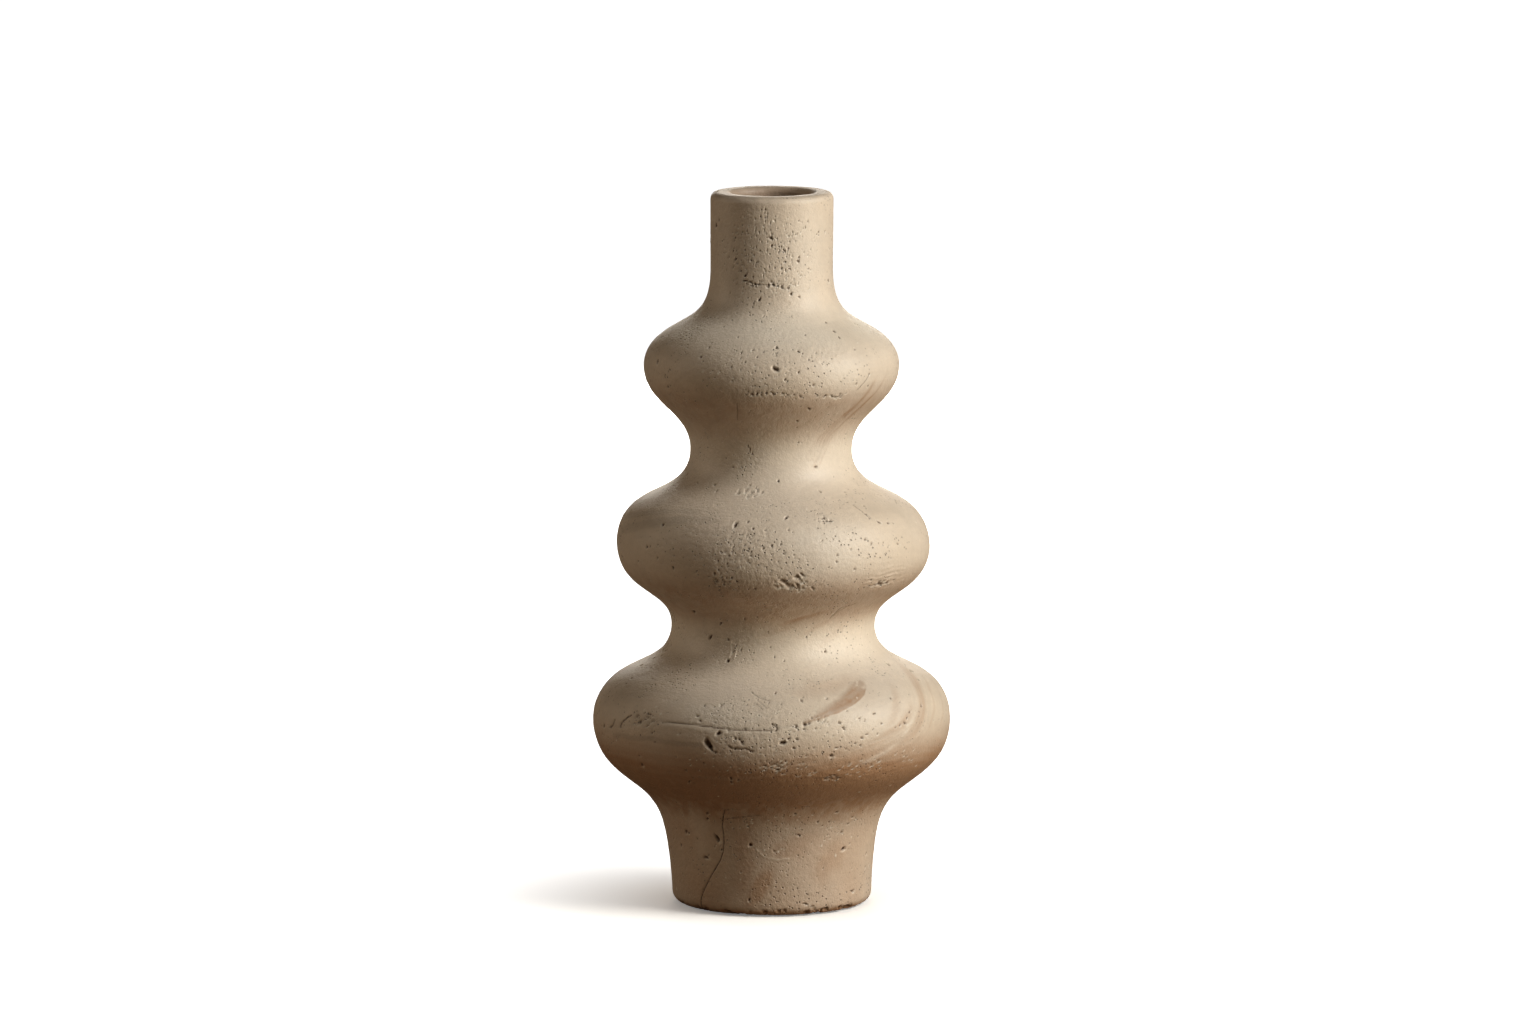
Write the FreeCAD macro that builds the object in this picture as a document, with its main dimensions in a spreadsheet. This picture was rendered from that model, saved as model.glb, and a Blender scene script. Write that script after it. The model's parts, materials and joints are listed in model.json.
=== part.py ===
"""Bubble-profile vase: one hollow cast body that stands on four small pads.

Frame: +Z up, the axis of revolution is Z, and the origin is the centre of the plane that the pads rest on.
Millimetres. The body's foot ring stands one pad reveal above that plane.
"""
import FreeCAD
import Part
import math
import os
import Sketcher

V = FreeCAD.Vector
doc = FreeCAD.newDocument("bubble_vase")
sheet = doc.addObject("Spreadsheet::Sheet", "dims")

# ---------------------------------------------------------------- driving dimensions
MAIN = [
    ("total_height", 300.0),       # rest plane to lip
    ("neck_radius", 25.73),        # outside of the straight neck
    ("mouth_radius", 17.0),        # inside of the straight mouth bore
    ("lip_outer_round", 3.0),
    ("lip_inner_round", 2.5),
    ("foot_radius", 41.82),        # outside of the foot, before its edge is rounded
    ("foot_edge_round", 4.3),
    ("pad_reveal", 0.6),           # gap under the foot ring
    ("recess_radius", 33.5),
    ("recess_top_radius", 32.5),
    ("recess_depth", 2.0),
    ("floor_height", 10.6),        # top of the cavity's floor
    ("pad_radius", 7.0),
    ("pad_circle", 23.0),          # radius of the circle that the pads stand on
    ("pad_bevel", 0.4),
]

# Control points (radius, height) of the outside, in smooth cubic stretches from the foot up. Each stretch starts
# where the one before it ends, so only the first lists its own start.
OUTER = [
    ("foot", [(41.9, 5.2), (42.05, 11), (43.75, 30.18), (47.68, 41.6), (52.327, 47.22), (56.563, 50.593)]),
    ("large_bulb", [(60.8, 53.967), (73.1, 61.84), (76.95, 83.07), (70.363, 93.237), (64.69, 96.942)]),
    ("low_waist", [(59.017, 100.647), (42.91, 105.3), (40.48, 126.89), (55.093, 133.363), (59.603, 137.798)]),
    ("middle_bulb", [(64.113, 142.233), (67.54, 153.5), (60.25, 170.87), (42.55, 176.043), (37.842, 181.187)]),
    ("high_waist", [(33.133, 186.33), (32, 201.73), (45.907, 211.397), (49.71, 216.722)]),
    ("small_bulb", [(53.513, 222.047), (54.82, 233.68), (43.1, 243.64), (31.467, 248.587), (28.57, 253.702)]),
    ("neck", [(25.673, 258.817), (25.72, 274.33), (25.73, 279), (25.73, 288)]),
]

# The same for the cavity, a wall of about 8 mm inside it.
INNER = [
    ("foot", [(33.75, 18.6), (33.95, 24.5), (40.37, 49.36), (49.11, 55.293), (53.748, 58.69)]),
    ("large_bulb", [(58.387, 62.087), (68.2, 69.74), (66.89, 90.11), (50.557, 94.27), (44.623, 98.533)]),
    ("low_waist", [(38.69, 102.797), (31.29, 115.69), (36.35, 128.883), (40.953, 133.543)]),
    ("middle_bulb", [(45.557, 138.203), (58.91, 143.65), (57.87, 163.99),
                   (37.557, 169.123), (31.618, 175.728)]),
    ("high_waist", [(25.68, 182.333), (22.24, 203.62), (38.593, 215.827), (42.497, 220.887)]),
    ("small_bulb", [(46.4, 225.947), (45.66, 233.98), (29.907, 239.427), (24.711, 244.751)]),
    ("neck", [(19.515, 250.075), (17, 258), (17, 266)]),
]

row = [1]


def cell(alias, value):
    """One named cell holding a plain number."""
    sheet.set("A%d" % row[0], alias)
    sheet.set("B%d" % row[0], "%.3f" % value)
    sheet.setAlias("B%d" % row[0], alias)
    row[0] += 1


for name, value in MAIN:
    cell(name, value)
for side, stretches in (("outer", OUTER), ("inner", INNER)):
    for part_name, poles in stretches:
        for i, (r, z) in enumerate(poles):
            cell("%s_%s_radius_%d" % (side, part_name, i + 1), r)
            cell("%s_%s_height_%d" % (side, part_name, i + 1), z)
doc.recompute()


def dim(alias):
    return float(sheet.get(alias))


# ---------------------------------------------------------------- sketch helpers
def plane(body, role):
    return [o for o in body.Origin.OriginFeatures if o.Role == role][0]


def new_sketch(body, name):
    sk = body.newObject("Sketcher::SketchObject", name)
    sk.AttachmentSupport = [(plane(body, "XZ_Plane"), "")]
    sk.MapMode = "FlatFace"
    return sk


def bind(sk, kind, geo, pos, alias_or_expr, value):
    """A distance from the sketch's origin to a point, driven by the sheet."""
    n = sk.addConstraint(Sketcher.Constraint(kind, -1, 1, geo, pos, value))
    sk.setExpression("Constraints[%d]" % n, alias_or_expr)
    return n


def add_side(sk, side, stretches):
    """The curved side, as clamped cubics joined end to end, with every control point driven by the sheet."""
    geos = []
    last = None
    for part_name, poles in stretches:
        first = 0 if last is None else 1
        points = poles if last is None else [last] + poles
        spans = len(points) - 3
        curve = Part.BSplineCurve()
        curve.buildFromPolesMultsKnots(
            [V(r, z, 0) for r, z in points],
            [4] + [1] * (spans - 1) + [4],
            [float(i) for i in range(spans + 1)],
            False,
            3,
        )
        g = sk.addGeometry(curve, False)
        sk.exposeInternalGeometry(g)
        for i, (r, z) in enumerate(poles):
            for kind, word, value in (("DistanceX", "radius", r), ("DistanceY", "height", z)):
                bind(sk, kind, g + 1 + first + i, 3, "dims.%s_%s_%s_%d" % (side, part_name, word, i + 1), value)
        if geos:
            join(sk, geos[-1], 2, g, 1)
        geos.append(g)
        last = poles[-1]
    return geos


def add_line(sk, a, b):
    return sk.addGeometry(Part.LineSegment(V(a[0], a[1], 0), V(b[0], b[1], 0)), False)


def join(sk, g1, p1, g2, p2):
    sk.addConstraint(Sketcher.Constraint("Coincident", g1, p1, g2, p2))


def round_edges(shape, wanted):
    """Names of the circular edges at the wanted (radius, height) pairs."""
    found = []
    for r, z in wanted:
        best = None
        for i, e in enumerate(shape.Edges):
            c = e.Curve
            if isinstance(c, Part.Circle):
                gap = abs(c.Radius - r) + abs(c.Center.z - z)
                if best is None or gap < best[0]:
                    best = (gap, "Edge%d" % (i + 1))
        if best is None or best[0] > 0.2:
            raise RuntimeError("no circular edge of radius %.2f at height %.2f" % (r, z))
        found.append(best[1])
    return found


# ---------------------------------------------------------------- the body
vase = doc.addObject("PartDesign::Body", "vase_body")
vase.Label = "vase_body"

base_z = dim("pad_reveal")
top_z = dim("total_height")

# Outside: foot, three bulbs, neck, as one closed half section turned about the axis.
outer = new_sketch(vase, "outer_profile")
side = add_side(outer, "outer", OUTER)
axis = add_line(outer, (0, top_z), (0, base_z))
foot = add_line(outer, (0, base_z), (dim("foot_radius"), base_z))
toe = add_line(outer, (dim("foot_radius"), base_z), OUTER[0][1][0])
neck = add_line(outer, OUTER[-1][1][-1], (dim("neck_radius"), top_z))
lip = add_line(outer, (dim("neck_radius"), top_z), (0, top_z))
join(outer, axis, 2, foot, 1)
join(outer, foot, 2, toe, 1)
join(outer, toe, 2, side[0], 1)
join(outer, side[-1], 2, neck, 1)
join(outer, neck, 2, lip, 1)
join(outer, lip, 2, axis, 1)
outer.addConstraint(Sketcher.Constraint("PointOnObject", axis, 1, -2))
outer.addConstraint(Sketcher.Constraint("Vertical", axis))
outer.addConstraint(Sketcher.Constraint("Horizontal", foot))
outer.addConstraint(Sketcher.Constraint("Horizontal", lip))
bind(outer, "DistanceY", axis, 2, "dims.pad_reveal", base_z)
bind(outer, "DistanceX", foot, 2, "dims.foot_radius", dim("foot_radius"))
bind(outer, "DistanceY", lip, 1, "dims.total_height", top_z)
bind(outer, "DistanceX", lip, 1, "dims.neck_radius", dim("neck_radius"))
doc.recompute()

form = vase.newObject("PartDesign::Revolution", "outer_form")
form.Profile = outer
form.ReferenceAxis = (outer, ["V_Axis"])
form.Angle = 360.0
doc.recompute()
volume_form = form.Shape.Volume

# Cavity: the bore of the neck, then a space that follows the bulbs down to a rounded floor.
inner = new_sketch(vase, "cavity_profile")
wall = add_side(inner, "inner", INNER)
wall_foot = INNER[0][1][0]
corner_radius = wall_foot[1] - dim("floor_height")   # the floor meets the wall in a quarter round
above = top_z + 5.0
c_axis = add_line(inner, (0, above), (0, dim("floor_height")))
c_floor = add_line(inner, (0, dim("floor_height")), (wall_foot[0] - corner_radius, dim("floor_height")))
corner = inner.addGeometry(
    Part.ArcOfCircle(
        Part.Circle(V(wall_foot[0] - corner_radius, wall_foot[1], 0), V(0, 0, 1), corner_radius),
        -math.pi / 2,
        0,
    ),
    False,
)
bore = add_line(inner, INNER[-1][1][-1], (dim("mouth_radius"), above))
c_top = add_line(inner, (dim("mouth_radius"), above), (0, above))
join(inner, c_axis, 2, c_floor, 1)
join(inner, corner, 2, wall[0], 1)
join(inner, wall[-1], 2, bore, 1)
join(inner, bore, 2, c_top, 1)
join(inner, c_top, 2, c_axis, 1)
inner.addConstraint(Sketcher.Constraint("Tangent", c_floor, 2, corner, 1))
inner.addConstraint(Sketcher.Constraint("PointOnObject", c_axis, 1, -2))
inner.addConstraint(Sketcher.Constraint("Vertical", c_axis))
inner.addConstraint(Sketcher.Constraint("Horizontal", c_floor))
inner.addConstraint(Sketcher.Constraint("Horizontal", c_top))
bind(inner, "DistanceY", c_axis, 2, "dims.floor_height", dim("floor_height"))
bind(inner, "DistanceY", c_top, 1, "dims.total_height + 5", above)
bind(inner, "DistanceX", c_top, 1, "dims.mouth_radius", dim("mouth_radius"))
bind(inner, "DistanceY", corner, 3, "dims.inner_foot_height_1", wall_foot[1])
doc.recompute()

cavity = vase.newObject("PartDesign::Groove", "cavity")
cavity.Profile = inner
cavity.ReferenceAxis = (inner, ["V_Axis"])
cavity.Angle = 360.0
doc.recompute()
volume_hollow = cavity.Shape.Volume

# Recess under the foot, which leaves a narrow ring.
under = new_sketch(vase, "recess_profile")
deep = base_z + dim("recess_depth")
u_axis = add_line(under, (0, deep), (0, base_z - 1.0))
u_low = add_line(under, (0, base_z - 1.0), (dim("recess_radius"), base_z - 1.0))
u_edge = add_line(under, (dim("recess_radius"), base_z - 1.0), (dim("recess_radius"), base_z))
u_side = add_line(under, (dim("recess_radius"), base_z), (dim("recess_top_radius"), deep))
u_top = add_line(under, (dim("recess_top_radius"), deep), (0, deep))
join(under, u_axis, 2, u_low, 1)
join(under, u_low, 2, u_edge, 1)
join(under, u_edge, 2, u_side, 1)
join(under, u_side, 2, u_top, 1)
join(under, u_top, 2, u_axis, 1)
under.addConstraint(Sketcher.Constraint("PointOnObject", u_axis, 1, -2))
under.addConstraint(Sketcher.Constraint("Vertical", u_axis))
under.addConstraint(Sketcher.Constraint("Horizontal", u_low))
under.addConstraint(Sketcher.Constraint("Vertical", u_edge))
under.addConstraint(Sketcher.Constraint("Horizontal", u_top))
bind(under, "DistanceX", u_edge, 2, "dims.recess_radius", dim("recess_radius"))
bind(under, "DistanceY", u_edge, 2, "dims.pad_reveal", base_z)
bind(under, "DistanceX", u_top, 1, "dims.recess_top_radius", dim("recess_top_radius"))
bind(under, "DistanceY", u_top, 1, "dims.pad_reveal + dims.recess_depth", deep)
under.addConstraint(Sketcher.Constraint("DistanceY", u_edge, 1, u_edge, 2, 1.0))
doc.recompute()

recess = vase.newObject("PartDesign::Groove", "foot_recess")
recess.Profile = under
recess.ReferenceAxis = (under, ["V_Axis"])
recess.Angle = 360.0
doc.recompute()
volume_recessed = recess.Shape.Volume


def add_round(name, base, radius_alias, wanted):
    f = vase.newObject("PartDesign::Fillet", name)
    f.Base = (base, round_edges(base.Shape, wanted))
    f.Radius = dim(radius_alias)
    f.setExpression("Radius", "dims." + radius_alias)
    doc.recompute()
    return f


foot_edge = add_round("foot_edge", recess, "foot_edge_round", [(dim("foot_radius"), base_z)])
lip_outer = add_round("lip_outer_edge", foot_edge, "lip_outer_round", [(dim("neck_radius"), top_z)])
lip_inner = add_round("lip_inner_edge", lip_outer, "lip_inner_round", [(dim("mouth_radius"), top_z)])
vase.Tip = lip_inner
doc.recompute()

for sk in (outer, inner, under):
    if sk.solve() != 0 or not sk.FullyConstrained:
        raise RuntimeError("%s isn't fully constrained" % sk.Name)
if not volume_hollow < 0.6 * volume_form:
    raise RuntimeError("the cavity didn't cut: %.0f of %.0f mm3 left" % (volume_hollow, volume_form))
if not volume_recessed < volume_hollow - 5000:
    raise RuntimeError("the recess didn't cut")
if not vase.Shape.Volume < volume_recessed - 100:
    raise RuntimeError("an edge wasn't rounded")

# ---------------------------------------------------------------- the pads
# Four self-adhesive pads in the recess, flush with its ceiling, standing proud of the foot ring by the reveal.
pads = []
for k in range(4):
    angle = 45 + 90 * k
    disc = doc.addObject("Part::Cylinder", "pad_disc_%d" % (k + 1))
    disc.setExpression("Radius", "dims.pad_radius")
    disc.setExpression("Height", "dims.pad_reveal + dims.recess_depth")
    disc.setExpression("Placement.Base.x", "dims.pad_circle * cos(%d deg)" % angle)
    disc.setExpression("Placement.Base.y", "dims.pad_circle * sin(%d deg)" % angle)
    doc.recompute()
    low = [
        i + 1
        for i, e in enumerate(disc.Shape.Edges)
        if isinstance(e.Curve, Part.Circle) and e.Curve.Center.z < 0.01
    ]
    pad = doc.addObject("Part::Chamfer", "pad_%d" % (k + 1))
    pad.Base = disc
    pad.Edges = [(n, dim("pad_bevel"), dim("pad_bevel")) for n in low]
    pads.append(pad)
doc.recompute()
group = doc.addObject("Part::Compound", "foot_pads")
group.Label = "foot_pads"
group.Links = pads
doc.recompute()

# ---------------------------------------------------------------- checks and output
for o in doc.Objects:
    if "Invalid" in o.State or "Error" in o.State:
        raise RuntimeError("%s failed: %s" % (o.Name, o.State))

os.makedirs("parts", exist_ok=True)
for node, solids in ((vase, 1), (group, 4)):
    shape = node.Shape
    if shape.isNull() or not shape.isValid() or len(shape.Solids) != solids:
        raise RuntimeError("%s is not %d valid solid(s)" % (node.Label, solids))
    shape.exportStep("parts/%s.step" % node.Label)
    b = shape.BoundBox
    print(
        "%s: %d solid(s), %.1f cm3, x %.2f..%.2f y %.2f..%.2f z %.2f..%.2f"
        % (node.Label, len(shape.Solids), shape.Volume / 1000.0, b.XMin, b.XMax, b.YMin, b.YMax, b.ZMin, b.ZMax)
    )
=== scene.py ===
import json
import math

import bpy
import numpy as np
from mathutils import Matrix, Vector

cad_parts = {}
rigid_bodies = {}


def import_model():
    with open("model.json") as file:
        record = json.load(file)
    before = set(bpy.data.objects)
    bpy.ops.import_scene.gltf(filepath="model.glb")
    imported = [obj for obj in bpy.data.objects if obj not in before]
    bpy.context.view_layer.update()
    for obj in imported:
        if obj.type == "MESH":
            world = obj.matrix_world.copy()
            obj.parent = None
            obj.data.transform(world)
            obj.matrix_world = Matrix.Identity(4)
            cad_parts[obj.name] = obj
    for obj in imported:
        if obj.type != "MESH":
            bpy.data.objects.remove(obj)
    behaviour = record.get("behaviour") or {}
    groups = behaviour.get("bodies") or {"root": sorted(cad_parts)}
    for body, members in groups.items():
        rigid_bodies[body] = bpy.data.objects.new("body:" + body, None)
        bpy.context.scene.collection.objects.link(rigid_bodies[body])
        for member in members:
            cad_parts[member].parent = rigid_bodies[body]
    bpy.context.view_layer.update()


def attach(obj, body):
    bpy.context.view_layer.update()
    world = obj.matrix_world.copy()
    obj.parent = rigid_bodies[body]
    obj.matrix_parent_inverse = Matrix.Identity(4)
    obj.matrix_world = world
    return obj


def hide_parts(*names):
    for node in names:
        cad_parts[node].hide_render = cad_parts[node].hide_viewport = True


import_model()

rng = np.random.default_rng(4107)

# ---------------------------------------------------------------- profile, mm
OUTER = [(41.9, 5.2), (42.05, 11.0), (43.75, 30.18), (47.68, 41.6), (54.65, 50.03), (73.1, 61.84),
         (76.95, 83.07), (67.07, 98.32), (42.91, 105.3), (40.48, 126.89), (62.4, 136.6), (67.54, 153.5),
         (60.25, 170.87), (33.7, 178.63), (32.0, 201.73), (52.86, 216.23), (54.82, 233.68),
         (43.1, 243.64), (25.65, 251.06), (25.72, 274.33), (25.73, 279.0), (25.73, 288.0)]
INNER = [(33.75, 18.6), (33.95, 24.5), (40.37, 49.36), (53.48, 58.26), (68.2, 69.74), (66.89, 90.11),
         (42.39, 96.35), (31.29, 115.69), (38.88, 135.48), (58.91, 143.65), (57.87, 163.99),
         (27.4, 171.69), (22.24, 203.62), (46.77, 221.93), (45.66, 233.98), (22.03, 242.15),
         (17.0, 258.0), (17.0, 266.0)]


def spline(poles, count=6000):
    """Clamped uniform cubic, as points."""
    p = np.array(poles, float)
    n = len(p)
    knots = np.r_[[0] * 4, np.arange(1, n - 3), [n - 3] * 4].astype(float)
    t = np.linspace(0, n - 3, count)
    k = np.clip(np.floor(t).astype(int), 0, n - 4) + 3
    d = [p[k - 3 + j] for j in range(4)]
    for r in range(1, 4):
        for j in range(3, r - 1, -1):
            lo, hi = knots[j + k - 3], knots[j + 1 + k - r]
            a = ((t - lo) / (hi - lo))[:, None]
            d[j] = (1 - a) * d[j - 1] + a * d[j]
    return d[3]


def resample(pts, step):
    """The same polyline with even steps, ends kept."""
    pts = np.array(pts, float)
    s = np.r_[0, np.cumsum(np.hypot(*np.diff(pts, axis=0).T))]
    n = max(1, round(s[-1] / step))
    t = np.linspace(0, s[-1], n + 1)
    return np.c_[np.interp(t, s, pts[:, 0]), np.interp(t, s, pts[:, 1])]


def arc(cr, cz, rad, a0, a1, n=40):
    a = np.radians(np.linspace(a0, a1, n))
    return np.c_[cr + rad * np.cos(a), cz + rad * np.sin(a)]


FINE = 0.47
N = 960
COARSE = N // 4

outer = spline(OUTER)
foot = arc(37.52, 4.9, 4.3, -90, 4)
foot = np.vstack([foot, outer[:1]])
skin = resample([(33.5, 0.6), (37.5, 0.6)], 0.8)
skin = np.vstack([skin, resample(foot, FINE)[1:], resample(outer, FINE)[1:],
                  resample([(25.73, 288), (25.73, 297)], FINE)[1:]])
lip = np.vstack([arc(22.73, 297, 3, 0, 90), arc(19.5, 297.5, 2.5, 90, 180), [(17, 286)]])
skin = np.vstack([skin, resample(lip, FINE)[1:]])
recess_side = np.array([(32.5, 2.6), (33.0, 1.6)])
full = np.vstack([recess_side, skin])                      # rows with every column
under = resample([(1.5, 2.6), (31.6, 2.6)], 2.5)            # coarse rows, recess ceiling
inside = np.vstack([resample([(17, 285), (17, 266)], 1.4), resample(spline(INNER)[::-1], 1.5)[1:],
                    resample(arc(25.75, 18.6, 8, 0, -90), 1.5)[1:], resample([(25.75, 10.6), (1.5, 10.6)], 2.5)[1:]])

r0, z0 = full[:, 0], full[:, 1]
rows = len(full)
# outward normal of every profile row
tang = np.gradient(full, axis=0)
tang /= np.hypot(*tang.T)[:, None] + 1e-9
nr, nz = tang[:, 1], -tang[:, 0]
# arc length, zero at the foot edge's start, growing upwards
s0 = np.r_[0, np.cumsum(np.hypot(*np.diff(full, axis=0).T))]
top_row = int(np.argmax(z0))
az = np.linspace(0, 2 * math.pi, N, endpoint=False)
RR, AZ = np.meshgrid(r0, az, indexing="ij")
ZZ = np.repeat(z0[:, None], N, 1)
SS = np.repeat(s0[:, None], N, 1)
PX, PY = RR * np.sin(AZ), -RR * np.cos(AZ)
AD = np.degrees((AZ + math.pi) % (2 * math.pi) - math.pi)   # -180..180, 0 in front


def row_s(z):
    """Arc length at a height on the outside."""
    lo = 3
    return float(np.interp(z, z0[lo:top_row], s0[lo:top_row]))


# ---------------------------------------------------------------- noise
_perm = rng.permutation(256)
_perm = np.r_[_perm, _perm]
_grad = rng.normal(size=(256, 3))
_grad /= np.linalg.norm(_grad, axis=1)[:, None]


def noise(x, y, z):
    """Gradient noise, about -1..1."""
    xi, yi, zi = (np.floor(v).astype(np.int64) for v in (x, y, z))
    xf, yf, zf = x - xi, y - yi, z - zi
    xi, yi, zi = xi & 255, yi & 255, zi & 255
    u, v, w = (t * t * t * (t * (t * 6 - 15) + 10) for t in (xf, yf, zf))

    def corner(a, b, c):
        h = _perm[_perm[_perm[(xi + a) & 255] + ((yi + b) & 255)] + ((zi + c) & 255)]
        g = _grad[h]
        return g[..., 0] * (xf - a) + g[..., 1] * (yf - b) + g[..., 2] * (zf - c)

    x00 = corner(0, 0, 0) * (1 - u) + corner(1, 0, 0) * u
    x10 = corner(0, 1, 0) * (1 - u) + corner(1, 1, 0) * u
    x01 = corner(0, 0, 1) * (1 - u) + corner(1, 0, 1) * u
    x11 = corner(0, 1, 1) * (1 - u) + corner(1, 1, 1) * u
    return ((x00 * (1 - v) + x10 * v) * (1 - w) + (x01 * (1 - v) + x11 * v) * w) * 1.7


def solid(size, shift=0.0):
    """Noise with lumps about this many mm across."""
    return noise(PX / size + shift, PY / size + 1.7 * shift, ZZ / size - shift)


def streak(along, across, shift=0.0, tilt=0.0):
    """Noise drawn out round the body: along in mm, across in mm."""
    s = SS + tilt * np.sin(AZ + shift) + 0.4 * tilt * np.sin(3 * AZ + 2 * shift)
    k = RR / along
    return noise(np.sin(AZ) * k + shift, np.cos(AZ) * k - shift, s / across + shift)


def smooth(a, b, x):
    t = np.clip((x - a) / (b - a), 0, 1)
    return t * t * (3 - 2 * t)


def patch(a0, z_0, half_w, half_h, soft=0.5, wobble=0.35, ang=0.0):
    """A soft-edged region centred on an azimuth and height. half sizes in mm."""
    u = np.radians((AD - a0 + 180) % 360 - 180) * RR
    v = SS - row_s(z_0)
    c, s = math.cos(math.radians(ang)), math.sin(math.radians(ang))
    u, v = u * c + v * s, -u * s + v * c
    q = np.hypot(u / half_w, v / half_h) + wobble * n7
    return 1 - smooth(1 - soft, 1 + soft, q)


n60, n24, n7 = solid(60, 3.1), solid(24, 9.3), solid(7, 5.5)
n3, n16 = solid(2.9, 2.2), solid(1.6, 7.7)
n1 = solid(0.95, 11.3)

disp = 0.17 * n60 + 0.10 * n24 + 0.045 * n7
tone = np.ones((rows, N))          # brightness of the colour
stain_and_painted_shade = np.zeros((rows, N))         # brown: stains, and painted shade under the bulbs, inside the mouth and on the lip top, 0..1
pale = np.zeros((rows, N))         # chalky, and painted highlights on pit edges, the crease lip and lit places on the front, 0..1
dark = np.zeros((rows, N))         # pit shade, and painted shade inside the mouth, 0..1

# worn and rough areas against burnished ones
rough = np.clip(0.5 + 0.9 * n24 + 0.5 * n60, 0, 1) * 0.60
for a0, zc, w, h, k in [(-9, 272, 16, 20, .28), (5, 278, 12, 14, .3), (-14, 234, 16, 12, .5), (2, 221, 30, 5, .7),
                        (-14, 154, 17, 17, 1.2), (3, 148, 14, 10, 1.1), (-19, 145, 7, 5, 1.5), (9, 144, 14, 6, 1.0),
                        (46, 141, 9, 4, .7), (-8, 84, 24, 16, .8), (24, 71, 28, 7, .55), (-46, 83, 12, 6, 1.1),
                        (0, 66, 26, 9, .6), (-22, 34, 14, 14, .6), (16, 30, 24, 18, .45), (30, 8, 24, 8, .7),
                        (-16, 190, 7, 9, .8), (-22, 113, 12, 10, .6)]:
    rough = np.maximum(rough, k * patch(a0, zc, w, h))
for k in range(46):                                         # the same all round the rest
    a0 = rng.uniform(75, 285)
    zc = rng.choice([rng.uniform(4, 50), rng.uniform(55, 100), rng.uniform(136, 172), rng.uniform(218, 295),
                     rng.uniform(100, 218)])
    rough = np.maximum(rough, rng.uniform(.45, 1) * patch(a0, zc, rng.uniform(8, 24), rng.uniform(5, 14)))

disp += rough * (0.055 * n3 + 0.050 * n16 + 0.035 * n1)
disp += (1 - rough) * (0.012 * n3 + 0.012 * n16)
# fine rubbing marks round the body, a few drawn out and tilted
st1, st2 = streak(14, 0.95, 1.3, 7), streak(30, 1.9, 4.1, 11)
st3 = streak(9, 0.9, 8.2, -16)
disp += 0.020 * st1 * (0.35 + rough) + 0.020 * st2 + 0.024 * np.clip(st3 - 0.25, 0, 1) * rough * 2
tone *= 1 + 0.030 * n24 + 0.030 * n7 + 0.022 * st2 + 0.018 * st1 + 0.02 * n3

# ---------------------------------------------------------------- stamps
cols_mm = None


def window(a0, sc, reach):
    """Rows and columns within reach mm of a point."""
    i0, i1 = np.searchsorted(s0[:top_row + 12], [sc - reach, sc + reach])
    i0, i1 = max(i0, 3), max(i1, 4)
    ri = max(8.0, r0[min((i0 + i1) // 2, rows - 1)])
    dj = int(reach / (2 * math.pi * ri / N)) + 2
    jc = int(round(a0 / 360 * N))
    j = np.arange(jc - dj, jc + dj + 1)
    i = np.arange(i0, i1)
    if len(i) == 0:
        return None
    ii, jj = np.meshgrid(i, j % N, indexing="ij")
    u = np.radians(np.repeat(((j * 360.0 / N) - a0)[None], len(i), 0)) * r0[i][:, None]
    v = np.repeat((s0[i] - sc)[:, None], len(j), 1)
    return ii, jj, u, v


def pit(a0, z_0, a, b, ang, depth, shade=1.0, painted_lit_edge=0.5):
    a, b = max(a, 0.36), max(b, 0.30)
    a *= 1.10
    b *= 1.10
    sc = row_s(z_0)
    w = window(a0, sc, 2.4 * max(a, b) + 0.6)
    if w is None:
        return
    ii, jj, u, v = w
    c, s = math.cos(math.radians(ang)), math.sin(math.radians(ang))
    x, y = u * c + v * s, -u * s + v * c
    th = np.arctan2(y / b, x / a)
    p = rng.uniform(0, 6.28, 3)
    edge = 1 + 0.16 * np.sin(2 * th + p[0]) + 0.12 * np.sin(3 * th + p[1]) + 0.07 * np.sin(5 * th + p[2])
    q = np.hypot(x / a, y / b) / edge
    hole = 1 - smooth(0.45, 1.25, q)
    disp[ii, jj] -= 0.85 * depth * hole
    dark[ii, jj] = np.maximum(dark[ii, jj], shade * min(1.0, 0.62 + 0.55 * depth) * (1 - smooth(0.35, 1.15, q)))
    if painted_lit_edge > 0:                                           # painted highlight: a pale edge on the lower right of each pit, its lit lip
        rim = np.exp(-((q - 1.40) / 0.36) ** 2) * np.clip((u * 0.45 - v) / (np.hypot(u, v) + 1e-6), 0, 1)
        pale[ii, jj] = np.maximum(pale[ii, jj], painted_lit_edge * rim)


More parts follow.
